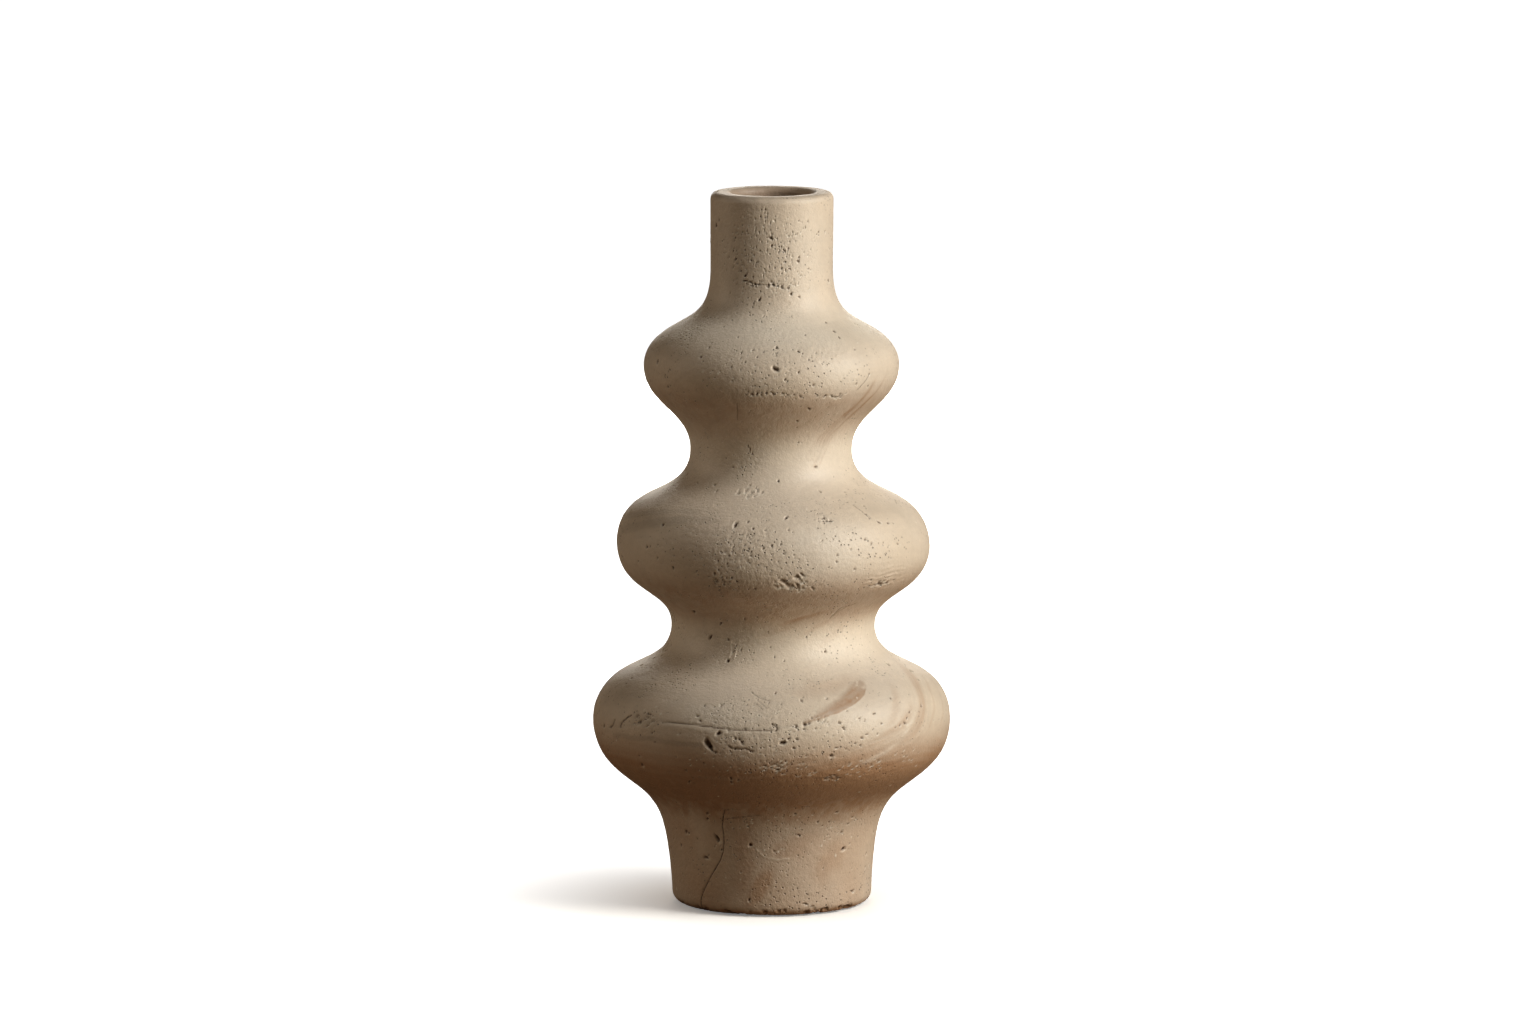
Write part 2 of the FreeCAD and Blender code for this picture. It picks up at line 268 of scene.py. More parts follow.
def groove(width, depth, pts, shade=0.8, edge=0.25):
    """A crack, line or scratch through (azimuth, z) points. A negative depth makes a thin raised line."""
    pts = [(a, row_s(z)) for a, z in pts]
    half = max(width, 0.28)
    for (a1, s1), (a2, s2) in zip(pts, pts[1:]):
        am, sm = (a1 + a2) / 2, (s1 + s2) / 2
        i = min(int(np.searchsorted(s0, sm)), rows - 1)
        ri = r0[i]
        du, dv = math.radians(a2 - a1) * ri, s2 - s1
        w = window(am, sm, math.hypot(du, dv) / 2 + 3 * half + 0.5)
        if w is None:
            continue
        ii, jj, u, v = w
        L2 = du * du + dv * dv + 1e-9
        t = np.clip(((u + du / 2) * du + (v + dv / 2) * dv) / L2, 0, 1)
        d = np.hypot(u + du / 2 - t * du, v + dv / 2 - t * dv) / half
        d = d + 0.25 * n1[ii, jj]
        cut = 1 - smooth(0.2, 1.5, d)
        low = -0.8 * depth * cut
        old = lines[ii, jj]
        lines[ii, jj] = np.where(np.abs(low) > np.abs(old), low, old)
        if depth > 0:
            dark[ii, jj] = np.maximum(dark[ii, jj], shade * min(1.0, 0.55 + depth) * (1 - smooth(0.1, 1.2, d)))
        else:
            pale[ii, jj] = np.maximum(pale[ii, jj], 0.5 * (1 - smooth(0.1, 1.2, d)))


def path_distance(pts):
    """Signed distance in mm to a path that runs left to right: positive above it. Also where along it."""
    a = np.array([p[0] for p in pts], float)
    s = np.array([row_s(p[1]) for p in pts])
    h = np.interp(AD, a, s)
    return SS - h, (AD >= a[0]) & (AD <= a[-1])


lines = np.zeros((rows, N))

PITS = [  # azimuth, z, half length, half width, angle, depth
    (-1.3, 283.5, 0.9, 0.6, -30, 0.9), (-4.7, 283.9, 0.4, 0.3, 0, 0.4), (-0.4, 280.3, 0.5, 0.5, -30, 0.7),
    (8.6, 279.9, 0.4, 0.3, -45, 0.5), (11.6, 278.1, 0.7, 0.4, -40, 0.8), (6.1, 277.5, 0.4, 0.3, -1, 0.5),
    (25.9, 275.2, 0.5, 0.4, -3, 0.6), (25.3, 273.5, 0.6, 0.5, -69, 0.8), (-25.6, 267.5, 0.6, 0.5, -56, 0.8),
    (-25.6, 265.4, 1.1, 0.3, 3, 0.6), (-20.6, 264.8, 0.5, 0.3, 3, 0.5), (-15.7, 264.2, 0.6, 0.4, -27, 0.8),
    (-12.3, 263.9, 0.4, 0.3, 1, 0.5), (-3.5, 264.1, 0.4, 0.4, 91, 0.5), (1.1, 263.9, 0.7, 0.4, -20, 0.5),
    (5.2, 263.5, 0.5, 0.3, -30, 0.6), (9.3, 262.8, 0.6, 0.2, -31, 0.5), (14.9, 262.6, 0.7, 0.4, -36, 0.7),
    (17.6, 260.2, 0.6, 0.5, -21, 0.9), (25.1, 258.8, 0.5, 0.4, -3, 0.6), (-11.1, 258.0, 0.8, 0.5, 52, 0.8),
    (-59.1, 289.6, 0.1, 0.6, 0, 0.6), (-65.2, 287.2, 1.1, 0.7, 35, 0.6), (49.4, 285.1, 0.5, 0.5, 74, 0.5),
    (46.7, 284.3, 0.5, 0.3, 30, 0.4), (49.5, 283.9, 0.5, 0.3, -5, 0.4), (66.4, 264.1, 0.7, 0.9, 57, 0.3),
    (35.4, 289.8, 0.2, 0.3, 0, 0.4), (32.5, 287.7, 0.4, 0.3, -3, 0.4), (25.5, 290.5, 0.5, 0.0, 0, 0.4),
    (8.7, 270.8, 0.5, 0.4, -1, 0.6), (16.5, 270.5, 0.6, 0.4, -21, 0.6), (-2.7, 271.4, 0.4, 0.3, 0, 0.4),
    (2.6, 271.2, 0.4, 0.3, 60, 0.4), (-35.6, 274.2, 0.6, 0.4, 46, 0.5), (-19.8, 274.0, 0.4, 0.4, 90, 0.5),
    (-14.6, 273.2, 0.5, 0.3, 60, 0.4), (-25.9, 278.2, 0.4, 0.3, 91, 0.4), (-38.6, 277.6, 0.4, 0.4, 66, 0.4),
    (-36.3, 283.2, 0.4, 0.4, 78, 0.4), (-9.9, 295.0, 0.1, 0.3, 0, 0.4), (-6.5, 295.0, 0.1, 0.3, 0, 0.5),
    (36.2, 270.2, 0.5, 0.3, -4, 0.4), (-10.8, 292.3, 0.3, 0.3, 0, 0.5), (-6.5, 291.9, 0.4, 0.0, 0, 0.4),
    (-6.5, 290.2, 0.4, 0.2, 0, 0.4), (-23.9, 286.2, 0.4, 0.3, 59, 0.4), (-30.0, 269.4, 0.4, 0.4, 58, 0.4),
    (-17.8, 267.1, 0.5, 0.3, 21, 0.4), (-11.2, 278.1, 0.4, 0.4, 1, 0.4), (12.2, 273.5, 0.4, 0.3, -1, 0.3),
    (-63.8, 231.8, 0.9, 0.8, 69, 0.7), (-55.0, 222.0, 0.8, 0.4, 6, 0.4), (1.6, 232.1, 1.3, 0.9, -26, 1.2),
    (2.4, 240.1, 0.5, 0.6, -1, 0.6), (13.3, 238.7, 0.7, 0.5, -47, 0.6), (15.1, 237.9, 0.4, 0.4, -2, 0.5),
    (12.1, 230.6, 0.5, 0.4, -2, 0.7), (6.0, 227.7, 0.5, 0.4, 60, 0.7), (18.9, 225.1, 0.7, 0.5, -2, 0.4),
    (45.0, 238.2, 0.5, 0.4, -6, 0.5), (49.6, 227.8, 0.5, 0.4, 33, 0.4), (41.6, 224.3, 0.5, 0.5, 58, 0.5),
    (-8.8, 221.3, 0.7, 0.4, -65, 0.6), (-6.5, 221.6, 0.6, 0.3, 70, 0.6), (-2.4, 221.8, 0.6, 0.3, -72, 0.6),
    (0.7, 221.6, 0.7, 0.3, -67, 0.6), (7.4, 221.0, 0.5, 0.3, -33, 0.5), (10.3, 221.1, 0.4, 0.3, -1, 0.5),
    (13.2, 220.4, 0.7, 0.3, -33, 0.6), (25.7, 220.2, 0.7, 0.4, -31, 0.7), (29.2, 219.6, 0.8, 0.3, -38, 0.6),
    (32.5, 219.4, 0.5, 0.4, -4, 0.5), (19.0, 214.5, 1.3, 0.4, -51, 0.6), (14.6, 208.9, 0.9, 0.4, -51, 0.5),
    (18.9, 198.9, 0.4, 0.4, -3, 0.4), (-35.3, 235.8, 0.6, 0.6, 78, 0.5), (-33.3, 239.4, 0.5, 0.5, 71, 0.4),
    (-33.3, 234.2, 0.5, 0.4, 85, 0.4), (-9.4, 239.3, 0.5, 0.4, 2, 0.5), (-15.0, 238.1, 0.5, 0.4, 74, 0.4),
    (-6.9, 236.7, 0.4, 0.4, 1, 0.4), (-4.2, 238.6, 0.4, 0.4, 1, 0.4), (-12.3, 234.7, 0.5, 0.4, 67, 0.4),
    (-18.6, 232.6, 0.4, 0.4, 65, 0.4), (41.8, 245.1, 0.8, 0.7, -97, 0.4), (41.0, 242.9, 0.8, 0.5, -100, 0.4),
    (42.2, 248.3, 0.5, 0.6, -7, 0.4), (20.2, 244.4, 0.4, 0.5, -4, 0.3), (-19.8, 243.7, 0.4, 0.5, 3, 0.3),
    (24.3, 234.3, 0.4, 0.3, -3, 0.3), (22.0, 237.9, 0.4, 0.4, -3, 0.3), (49.6, 222.7, 0.4, 0.5, 63, 0.4),
    (-14.8, 196.0, 0.8, 0.3, 77, 0.6), (-13.5, 194.1, 0.7, 0.3, 74, 0.5), (-16.1, 197.5, 0.6, 0.3, 76, 0.5),
    (33.2, 188.1, 0.8, 0.4, 12, 0.6), (5.0, 183.2, 0.5, 0.5, -1, 0.7), (-27.4, 188.3, 0.5, 0.3, 4, 0.3),
    (-14.6, 167.7, 1.4, 0.8, 72, 1.0), (6.4, 170.4, 1.1, 0.5, 62, 0.8), (-9.6, 168.8, 0.5, 0.5, 2, 0.5),
    (-7.3, 166.4, 0.6, 0.4, -43, 0.6), (-2.5, 165.8, 0.4, 0.4, 0, 0.5), (10.5, 170.8, 0.3, 0.4, -2, 0.3),
    (22.9, 169.8, 0.7, 0.6, -66, 0.7), (24.9, 168.7, 0.7, 0.5, -76, 0.7), (22.0, 168.7, 0.4, 0.4, -4, 0.5),
    (44.3, 169.9, 0.6, 0.6, -79, 0.6), (44.4, 168.2, 0.4, 0.5, -51, 0.5), (48.0, 166.6, 0.9, 0.7, -45, 0.8),
    (52.8, 165.7, 0.8, 0.5, -16, 0.6), (55.9, 165.2, 0.5, 0.4, -8, 0.4), (6.6, 166.0, 0.4, 0.4, -37, 0.5),
    (8.3, 165.2, 0.4, 0.3, -37, 0.4), (-0.2, 159.9, 0.5, 0.5, 0, 0.8), (3.2, 160.4, 0.5, 0.4, 0, 0.6),
    (-3.4, 158.8, 0.5, 0.5, -62, 0.5), (19.0, 161.4, 0.5, 0.3, 52, 0.5), (17.9, 160.8, 0.3, 0.3, -2, 0.4),
    (37.3, 160.7, 0.7, 0.5, -5, 0.7), (53.4, 157.1, 0.3, 1.0, 68, 0.3), (24.1, 155.2, 0.5, 0.4, 38, 0.6),
    (23.6, 152.6, 0.5, 0.4, -3, 0.6), (20.6, 150.5, 0.3, 0.3, -3, 0.5), (4.3, 156.8, 0.4, 0.4, -1, 0.5),
    (7.7, 156.2, 0.4, 0.3, -1, 0.4), (8.1, 154.9, 0.3, 0.3, -1, 0.4), (1.9, 153.3, 0.6, 0.3, -52, 0.5),
    (-47.8, 165.6, 0.9, 0.7, 94, 0.7), (-53.2, 155.9, 0.6, 0.6, 53, 0.6), (-51.3, 156.3, 0.7, 0.3, 6, 0.4),
    (-47.0, 152.1, 0.5, 0.5, 72, 0.4), (-39.5, 148.7, 0.6, 0.5, -58, 0.6), (-21.9, 147.8, 0.7, 0.5, -52, 0.6),
    (-20.2, 149.4, 0.5, 0.4, -50, 0.5), (-19.2, 145.2, 0.4, 0.4, 3, 0.5), (-15.4, 146.2, 0.5, 0.4, -49, 0.5),
    (-13.7, 144.6, 0.6, 0.4, -33, 0.6), (-7.1, 141.6, 0.5, 0.4, 1, 0.5), (8.4, 146.7, 1.1, 0.8, -22, 1.1),
    (10.4, 147.7, 1.2, 0.5, -37, 1.0), (3.4, 144.9, 1.4, 0.8, -23, 1.2), (5.0, 143.5, 0.9, 0.6, -34, 1.0),
    (8.9, 143.4, 1.1, 0.5, -39, 0.9), (7.1, 142.8, 0.7, 0.4, -40, 0.8), (14.8, 141.6, 1.0, 0.4, -52, 0.8),
    (12.0, 144.6, 0.6, 0.3, -42, 0.5), (45.3, 140.8, 1.6, 0.7, 2, 0.7), (49.1, 141.0, 0.9, 0.7, 12, 0.6),
    (42.9, 140.7, 1.0, 0.5, -7, 0.6), (39.4, 143.5, 0.6, 0.4, -6, 0.4), (52.8, 141.9, 0.8, 0.4, -8, 0.3),
    (-5.2, 161.8, 0.4, 0.3, 1, 0.3), (-7.5, 163.7, 0.4, 0.3, 1, 0.3), (-10.1, 160.1, 0.4, 0.3, 61, 0.4),
    (-14.6, 158.8, 0.5, 0.3, 61, 0.4), (-11.2, 156.5, 0.4, 0.3, 1, 0.4), (-7.9, 155.7, 0.4, 0.3, 78, 0.4),
    (-16.1, 155.5, 0.5, 0.4, 50, 0.5), (-18.8, 156.6, 0.5, 0.3, 50, 0.5), (-20.3, 153.2, 0.5, 0.3, 57, 0.5),
    (-16.9, 152.1, 0.5, 0.4, 2, 0.5), (-44.9, 127.9, 0.8, 0.9, -101, 0.7), (-29.9, 123.6, 1.0, 0.4, 50, 0.8),
    (-37.6, 117.3, 1.0, 0.6, 57, 0.9), (-15.2, 126.4, 0.9, 0.3, -92, 0.5), (-25.9, 116.9, 0.6, 0.4, 4, 0.7),
    (-24.0, 108.6, 0.8, 0.7, 4, 0.9), (30.0, 112.0, 0.6, 0.5, -4, 0.9), (0.8, 110.5, 0.5, 0.3, 70, 0.5),
    (5.9, 109.0, 0.5, 0.3, 60, 0.4), (19.1, 118.3, 0.5, 0.3, -3, 0.3), (-20.9, 114.5, 0.5, 0.3, 64, 0.4),
    (-17.7, 113.0, 0.5, 0.3, 64, 0.4), (-22.2, 112.0, 0.4, 0.3, 66, 0.4), (-8.5, 127.5, 0.4, 0.5, 2, 0.3),
    (-25.5, 89.0, 0.7, 0.4, -14, 0.7), (-24.0, 87.2, 0.6, 0.4, -32, 0.7), (-17.1, 82.7, 1.1, 0.8, 3, 1.2),
    (-11.6, 80.6, 0.6, 0.4, 2, 0.8), (-10.3, 80.5, 0.6, 0.4, -28, 0.7), (-9.5, 79.2, 0.7, 0.5, -44, 0.8),
    (-8.5, 84.8, 0.4, 0.3, 1, 0.5), (7.8, 85.6, 0.8, 0.5, -66, 0.8), (10.4, 84.6, 0.6, 0.4, -2, 0.6),
    (3.5, 79.2, 1.2, 0.8, 19, 1.1), (5.3, 80.8, 0.5, 0.4, 30, 0.7), (8.1, 80.5, 0.6, 0.5, -21, 0.8),
    (7.0, 76.8, 0.7, 0.3, -11, 0.6), (1.0, 98.3, 1.0, 0.4, 67, 0.4), (-24.0, 93.1, 0.8, 0.3, -63, 0.5),
    (-18.0, 93.5, 0.6, 0.5, 3, 0.5), (-20.2, 92.8, 0.4, 0.3, 4, 0.4), (-48.2, 69.7, 0.7, 0.4, 7, 0.4),
    (-48.4, 65.6, 1.1, 0.6, 53, 0.5), (-22.4, 69.7, 0.5, 0.4, 4, 0.5), (-30.1, 60.3, 1.0, 0.4, 52, 0.5),
    (-13.9, 63.1, 0.9, 0.5, 81, 0.8), (-14.1, 61.4, 0.5, 0.6, 4, 0.6), (-11.4, 62.6, 0.5, 0.5, 2, 0.5),
    (-7.3, 66.4, 0.4, 0.4, 1, 0.3), (10.2, 95.6, 1.0, 0.4, -64, 0.6), (10.7, 86.6, 1.1, 0.7, 8, 0.9),
    (12.1, 87.0, 0.6, 0.4, -2, 0.6), (15.3, 87.8, 0.6, 0.4, 17, 0.6), (14.1, 84.7, 0.4, 0.4, 58, 0.5),
    (22.4, 86.5, 0.8, 0.4, -38, 0.8), (23.6, 84.3, 0.8, 0.5, -52, 0.9), (29.9, 87.8, 0.5, 0.3, -5, 0.6),
    (31.6, 86.5, 0.4, 0.3, -5, 0.4), (35.8, 89.0, 0.7, 0.5, -6, 0.8), (38.0, 84.7, 0.6, 0.4, -6, 0.6),
    (51.8, 87.5, 1.0, 0.3, 12, 0.6), (48.2, 83.5, 1.1, 0.5, -28, 0.6), (45.7, 82.9, 0.6, 0.4, -6, 0.6),
    (49.6, 85.4, 0.7, 0.4, 36, 0.4), (43.8, 82.5, 0.7, 0.3, 9, 0.4), (30.0, 79.7, 0.7, 0.4, -22, 0.7),
    (31.9, 80.9, 0.7, 0.3, 13, 0.6), (34.4, 82.7, 0.7, 0.3, 20, 0.5), (36.0, 80.6, 0.4, 0.4, 51, 0.4),
    (27.6, 77.6, 0.6, 0.4, -22, 0.6), (29.5, 76.6, 0.7, 0.3, -13, 0.6), (21.0, 76.3, 1.0, 0.3, 6, 0.6),
    (19.4, 73.0, 0.9, 0.6, -22, 0.8), (5.4, 80.9, 0.5, 0.4, -1, 0.6), (7.0, 77.0, 0.6, 0.3, -11, 0.6),
    (19.9, 81.4, 0.4, 0.3, -3, 0.4), (22.9, 80.3, 0.5, 0.3, -3, 0.4), (17.9, 82.8, 0.4, 0.3, -3, 0.4),
    (24.3, 75.6, 0.5, 0.3, -4, 0.4), (18.6, 62.5, 0.8, 0.6, -4, 0.6), (21.3, 64.0, 0.7, 0.4, -35, 0.5),
    (-44.2, 87.8, 0.9, 0.3, -8, 0.6), (-41.4, 80.4, 0.4, 0.6, 97, 0.5), (-45.5, 85.6, 1.0, 0.3, -21, 0.4),
    (-47.5, 84.1, 0.7, 0.5, 40, 0.4), (13.4, 76.6, 0.4, 0.3, -2, 0.4), (16.2, 75.0, 0.4, 0.3, -3, 0.4),
    (11.0, 73.5, 0.5, 0.3, -2, 0.4), (-0.2, 68.5, 0.7, 0.3, -23, 0.5), (1.7, 67.6, 0.6, 0.3, 11, 0.4),
    (-2.1, 69.3, 0.5, 0.3, -22, 0.4), (-21.3, 82.5, 0.3, 0.3, 3, 0.3), (-14.9, 81.7, 0.4, 0.3, 2, 0.3),
    (-32.3, 71.4, 0.5, 0.3, 5, 0.3), (-40.1, 76.8, 0.5, 0.3, 6, 0.3), (-32.1, 44.2, 0.7, 0.7, 7, 0.7),
    (-33.3, 41.6, 0.7, 0.6, 7, 0.7), (-51.1, 34.3, 1.2, 0.7, 64, 0.5), (-29.7, 33.3, 1.7, 0.8, -67, 0.9),
    (-38.8, 24.2, 1.2, 0.7, -11, 0.9), (-36.5, 25.5, 0.5, 0.3, 6, 0.5), (-11.2, 31.2, 1.0, 0.6, 12, 0.9),
    (14.4, 35.3, 0.7, 0.4, -33, 0.7), (11.2, 45.3, 0.5, 0.6, -3, 0.6), (40.3, 35.0, 0.8, 0.4, -39, 0.7),
    (32.5, 44.8, 0.6, 0.6, -8, 0.5), (44.7, 41.3, 0.5, 0.6, 80, 0.5), (23.8, 40.9, 0.6, 0.4, -33, 0.5),
    (43.3, 27.5, 1.2, 0.8, 9, 1.0), (53.8, 8.4, 1.0, 0.6, -8, 1.0), (-13.0, 7.5, 0.8, 0.4, 60, 0.6),
    (19.4, 5.5, 1.3, 0.4, -13, 0.8), (23.8, 4.4, 0.9, 0.1, 0, 0.6), (-49.2, 33.9, 0.7, 0.4, 8, 0.4),
    (-58.5, 27.6, 0.8, 0.5, 67, 0.3), (2.4, 39.8, 0.4, 0.3, 0, 0.3), (26.8, 38.9, 0.5, 0.4, -5, 0.4),
    (30.3, 40.5, 0.5, 0.4, -6, 0.4), (43.2, 38.4, 0.6, 0.4, -7, 0.3), (-3.6, 16.2, 0.4, 0.3, 1, 0.3),
    (8.2, 19.6, 0.4, 0.3, -2, 0.3), (30.1, 20.3, 0.4, 0.3, -5, 0.3), (-0.9, 10.6, 0.4, 0.3, 0, 0.3),
    (-17.2, 19.3, 0.4, 0.3, 3, 0.3), (-5.9, 32.6, 0.4, 0.3, 1, 0.3),
]
LINES = [  # half width, depth, points as (azimuth, z)
    (0.27, 0.25, [(-27.7, 265.5), (-22.6, 265.2), (-15.7, 264.2), (-8.2, 264.1), (0.1, 264.1), (6.6, 263.3), (12.1, 262.3)]),  # neck_crackle
    (0.25, 0.30, [(42.8, 173.2), (43.1, 172.1), (43.8, 170.8), (44.3, 169.9), (44.3, 168.4)]),  # b2_line
    (0.38, 0.45, [(-64.3, 79.0), (-62.2, 80.2), (-61.2, 82.6)]),  # b3_left_a
    (0.32, 0.40, [(-57.4, 80.2), (-57.2, 81.7), (-56.0, 83.4), (-54.0, 85.1), (-52.5, 86.2)]),  # b3_left_b
    (0.34, 0.40, [(-19.8, 76.1), (-18.4, 74.7), (-17.9, 74.4)]),  # b3_teardrop_tail
    (0.42, 0.50, [(-13.9, 77.5), (-12.6, 76.6), (-10.6, 76.4), (-8.7, 76.6), (-7.3, 76.2), (-5.9, 75.4)]),  # b3_crack
    (0.38, 0.60, [(-0.1, 86.8), (0.8, 86.3), (1.6, 85.5), (1.6, 84.4), (1.0, 84.0)]),  # b3_hook
    (0.25, 0.25, [(-8.3, 98.6), (-7.1, 97.7), (-5.2, 96.8), (-3.1, 96.1), (-1.1, 95.5)]),  # b3_scratch_a
    (0.23, 0.20, [(-6.3, 94.8), (-4.7, 93.7), (-3.3, 92.4)]),  # b3_scratch_b
    (0.21, 0.15, [(-5.2, 95.6), (-3.3, 94.2), (-1.9, 92.8)]),  # b3_scratch_c
    (0.29, 0.35, [(18.7, 62.6), (21.5, 62.5), (24.1, 62.8)]),  # b3_low_crack
    (0.25, 0.25, [(31.4, 126.4), (32.6, 128.9), (33.6, 130.9), (37.4, 131.6)]),  # w2_thin
    (0.32, 0.45, [(-22.0, 46.3), (-24.1, 42.8), (-25.7, 38.3), (-25.7, 34.5), (-26.1, 31.2), (-27.1, 27.4), (-29.0, 24.0), (-32.5, 20.2), (-37.1, 15.4), (-41.5, 10.4), (-44.3, 6.8), (-44.8, 5.0), (-45.3, 1.9)]),  # foot_crack
    (0.23, 0.20, [(-22.5, 46.5), (-18.0, 47.5), (-13.3, 47.6)]),  # foot_h1
    (0.23, 0.20, [(-23.3, 42.4), (-16.2, 43.4), (-10.1, 44.3), (-4.8, 44.8)]),  # foot_h2
    (0.27, -0.20, [(-8.2, 29.5), (-6.8, 28.1), (-4.5, 26.5), (-1.8, 25.5), (3.2, 24.9), (9.8, 25.4)]),  # foot_arc
    (0.25, 0.12, [(-16.7, 216.9), (-17.4, 213.1), (-19.3, 209.3)]),  # waist1_line
    (0.23, 0.20, [(49.7, 227.8), (47.5, 225.4), (44.8, 223.1), (42.8, 221.6)]),  # b1_right_crack
]
PITS += [(-20.6, 78.3, 2.0, 1.45, -60, 1.3), (-19.9, 76.9, 1.3, .8, -60, 1.0), (-19.3, 75.7, .7, .4, -60, .6), (-17.9, 74.6, .5, .4, -50, .5)]
LINES += [(0.30, 0.34, [(-38, 85.2), (-33.3, 85.5), (-25.1, 85.4), (-15.8, 84.5), (-6.5, 84.0), (0.2, 84.3)]),
          (0.40, 0.70, [(-63.5, 78.8), (-62, 80.4), (-61.2, 82.8)]), (0.36, 0.60, [(-57.4, 80.2), (-56.4, 82.6), (-54.4, 84.6), (-52.5, 86.0)])]
for p in PITS:                                              # the chipped place is shallower and paler than a pit
    pit(*p, shade=0.5 if 2 < p[0] < 16 and 141 < p[1] < 149 else 1.0)
for w, d, pts in LINES:
    groove(w, d, pts)

# drawn-out sags and lines on the waists
for w, d, pts in [
    (0.35, 0.34, [(31, 125.8), (33, 128.4), (36, 130.8), (40, 132.2)]),
]:
    groove(w, d, pts, shade=0.35)

# crackled and chipped places: (azimuth, z, half width, half height, stroke angle, count, stroke length, depth)
CRACKLE = [(-12.5, 179, 5.6, 3.6, 62, 22, 2.1, .34), (23, 169, 3.6, 1.4, -40, 9, 1.3, .5), (6.5, 144.0, 8.4, 3.6, -38, 26, 1.8, .46),
           (45, 140.8, 5.0, 2.0, 6, 12, 1.7, .34), (-20, 145.5, 5.2, 3.0, -48, 18, 1.2, .5), (-46, 85, 6.5, 3.2, 20, 26, 1.5, .5),
           (-2, 264, 10, 1.5, -8, 20, 1.4, .45), (0, 68.5, 5, 2.0, -12, 12, 1.6, .4), (21, 63, 4, 1.6, 10, 10, 1.4, .5),
           (30, 67, 12, 4, 12, 18, 1.3, .28), (8, 68, 12, 4, -6, 18, 1.3, .3), (50, 70, 9, 4, 30, 10, 1.2, .25), (-13, 157, 9, 9, 60, 40, 0.9, .35), (-30, 30, 3, 3, -60, 9, 1.0, .5),
           (28, 220, 9, 1.4, -30, 14, 1.2, .45), (-4, 221.6, 9, 1.2, 70, 16, 0.9, .5), (16, 87, 6, 3, 0, 14, 0.8, .5),
           (-10, 280, 14, 15, 80, 56, 0.45, .4), (8, 276, 12, 17, -35, 60, 0.42, .45), (30, 276, 8, 16, 80, 24, 0.5, .35),
           (-34, 274, 8, 17, 84, 40, 0.7, .35), (-6, 232, 14, 10, 60, 40, 0.5, .4), (-7, 84, 20, 13, 0, 46, 0.5, .4),
           (12, 38, 26, 9, 0, 30, 0.5, .4), (-12, 70, 22, 6, 0, 24, 0.5, .35)]
for k in range(30):
    zc = rng.choice([rng.uniform(60, 95), rng.uniform(138, 168), rng.uniform(222, 240), rng.uniform(252, 290),
                     rng.uniform(8, 46), rng.uniform(105, 128), rng.uniform(180, 206)])
    CRACKLE.append((rng.uniform(78, 285), zc, rng.uniform(3, 12), rng.uniform(1.4, 6), rng.uniform(-70, 70),
                    int(rng.uniform(10, 46)), rng.uniform(0.6, 1.6), rng.uniform(.35, .75)))
for a0, zc, hw, hh, ang, count, length, depth in CRACKLE:
    rc = r0[min(int(np.searchsorted(s0, row_s(zc))), rows - 1)]
    for _ in range(count):
        t, q = rng.uniform(0, 2 * math.pi), math.sqrt(rng.uniform())
        du, dv = hw * q * math.cos(t), hh * q * math.sin(t)
        g = rng.uniform(0.35, 1)
        zz = float(np.interp(row_s(zc) + dv, s0[3:top_row], z0[3:top_row]))
        pit(a0 + math.degrees(du / rc), zz, length * g * 0.62, length * g * rng.uniform(.2, .42),
            ang + rng.normal(0, 15), depth * g, 0.55 if length < 1.75 else 0.36, 0.95)

# scattered pits all round, in loose clusters, with fewer of the larger ones where they were placed one by one
area_s = s0[3:top_row]
weight = np.r_[r0[3:top_row]]
weight = weight * (0.7 + 0.6 * np.sin(area_s / 17.0) ** 2)
weight /= weight.sum()
clusters = [(rng.uniform(0, 360), rng.choice(area_s, p=weight)) for _ in range(120)]


def scatter(count, lo, hi, dlo, dhi, front, spread=9.0):
    for _ in range(count):
        if rng.uniform() < 0.6:
            ca, cs = clusters[rng.integers(len(clusters))]
            sc = cs + rng.normal(0, spread * .7)
            sc = min(max(sc, area_s[2]), area_s[-3])
            rc = float(np.interp(sc, area_s, r0[3:top_row]))
            a0 = ca + math.degrees(rng.normal(0, spread) / rc)
        else:
            sc, a0 = rng.choice(area_s, p=weight), rng.uniform(0, 360)
        aa = (a0 + 180) % 360 - 180
        if abs(aa) < 66 and rng.uniform() > front:
            continue
        zc = float(np.interp(sc, area_s, z0[3:top_row]))
        a = rng.uniform(lo, hi)
        pit(a0, zc, a, a * rng.uniform(.5, .95), rng.uniform(0, 180), rng.uniform(dlo, dhi), rng.uniform(.5, 1), 0.3)


scatter(1500, 0.28, 0.42, .15, .40, 0.28)
scatter(420, 0.42, 0.75, .35, .80, 0.10)
scatter(70, 0.75, 1.35, .60, 1.15, 0.0, 14)
# wandering hairlines round the rest of the body
for k in range(16):
    a, z = rng.uniform(80, 280), rng.uniform(10, 285)
    h = rng.uniform(0, 360)
    pts = [(a, z)]
    for _ in range(int(rng.uniform(4, 11))):
        h += rng.normal(0, 22)
        a += 2.6 * math.cos(math.radians(h)) * 40 / max(20, float(np.interp(z, z0[3:top_row], r0[3:top_row])))
        z = min(max(z + 2.4 * math.sin(math.radians(h)), 3), 292)
        pts.append((a, z))
    groove(rng.uniform(.22, .34), rng.uniform(.15, .42), pts, 0.7)

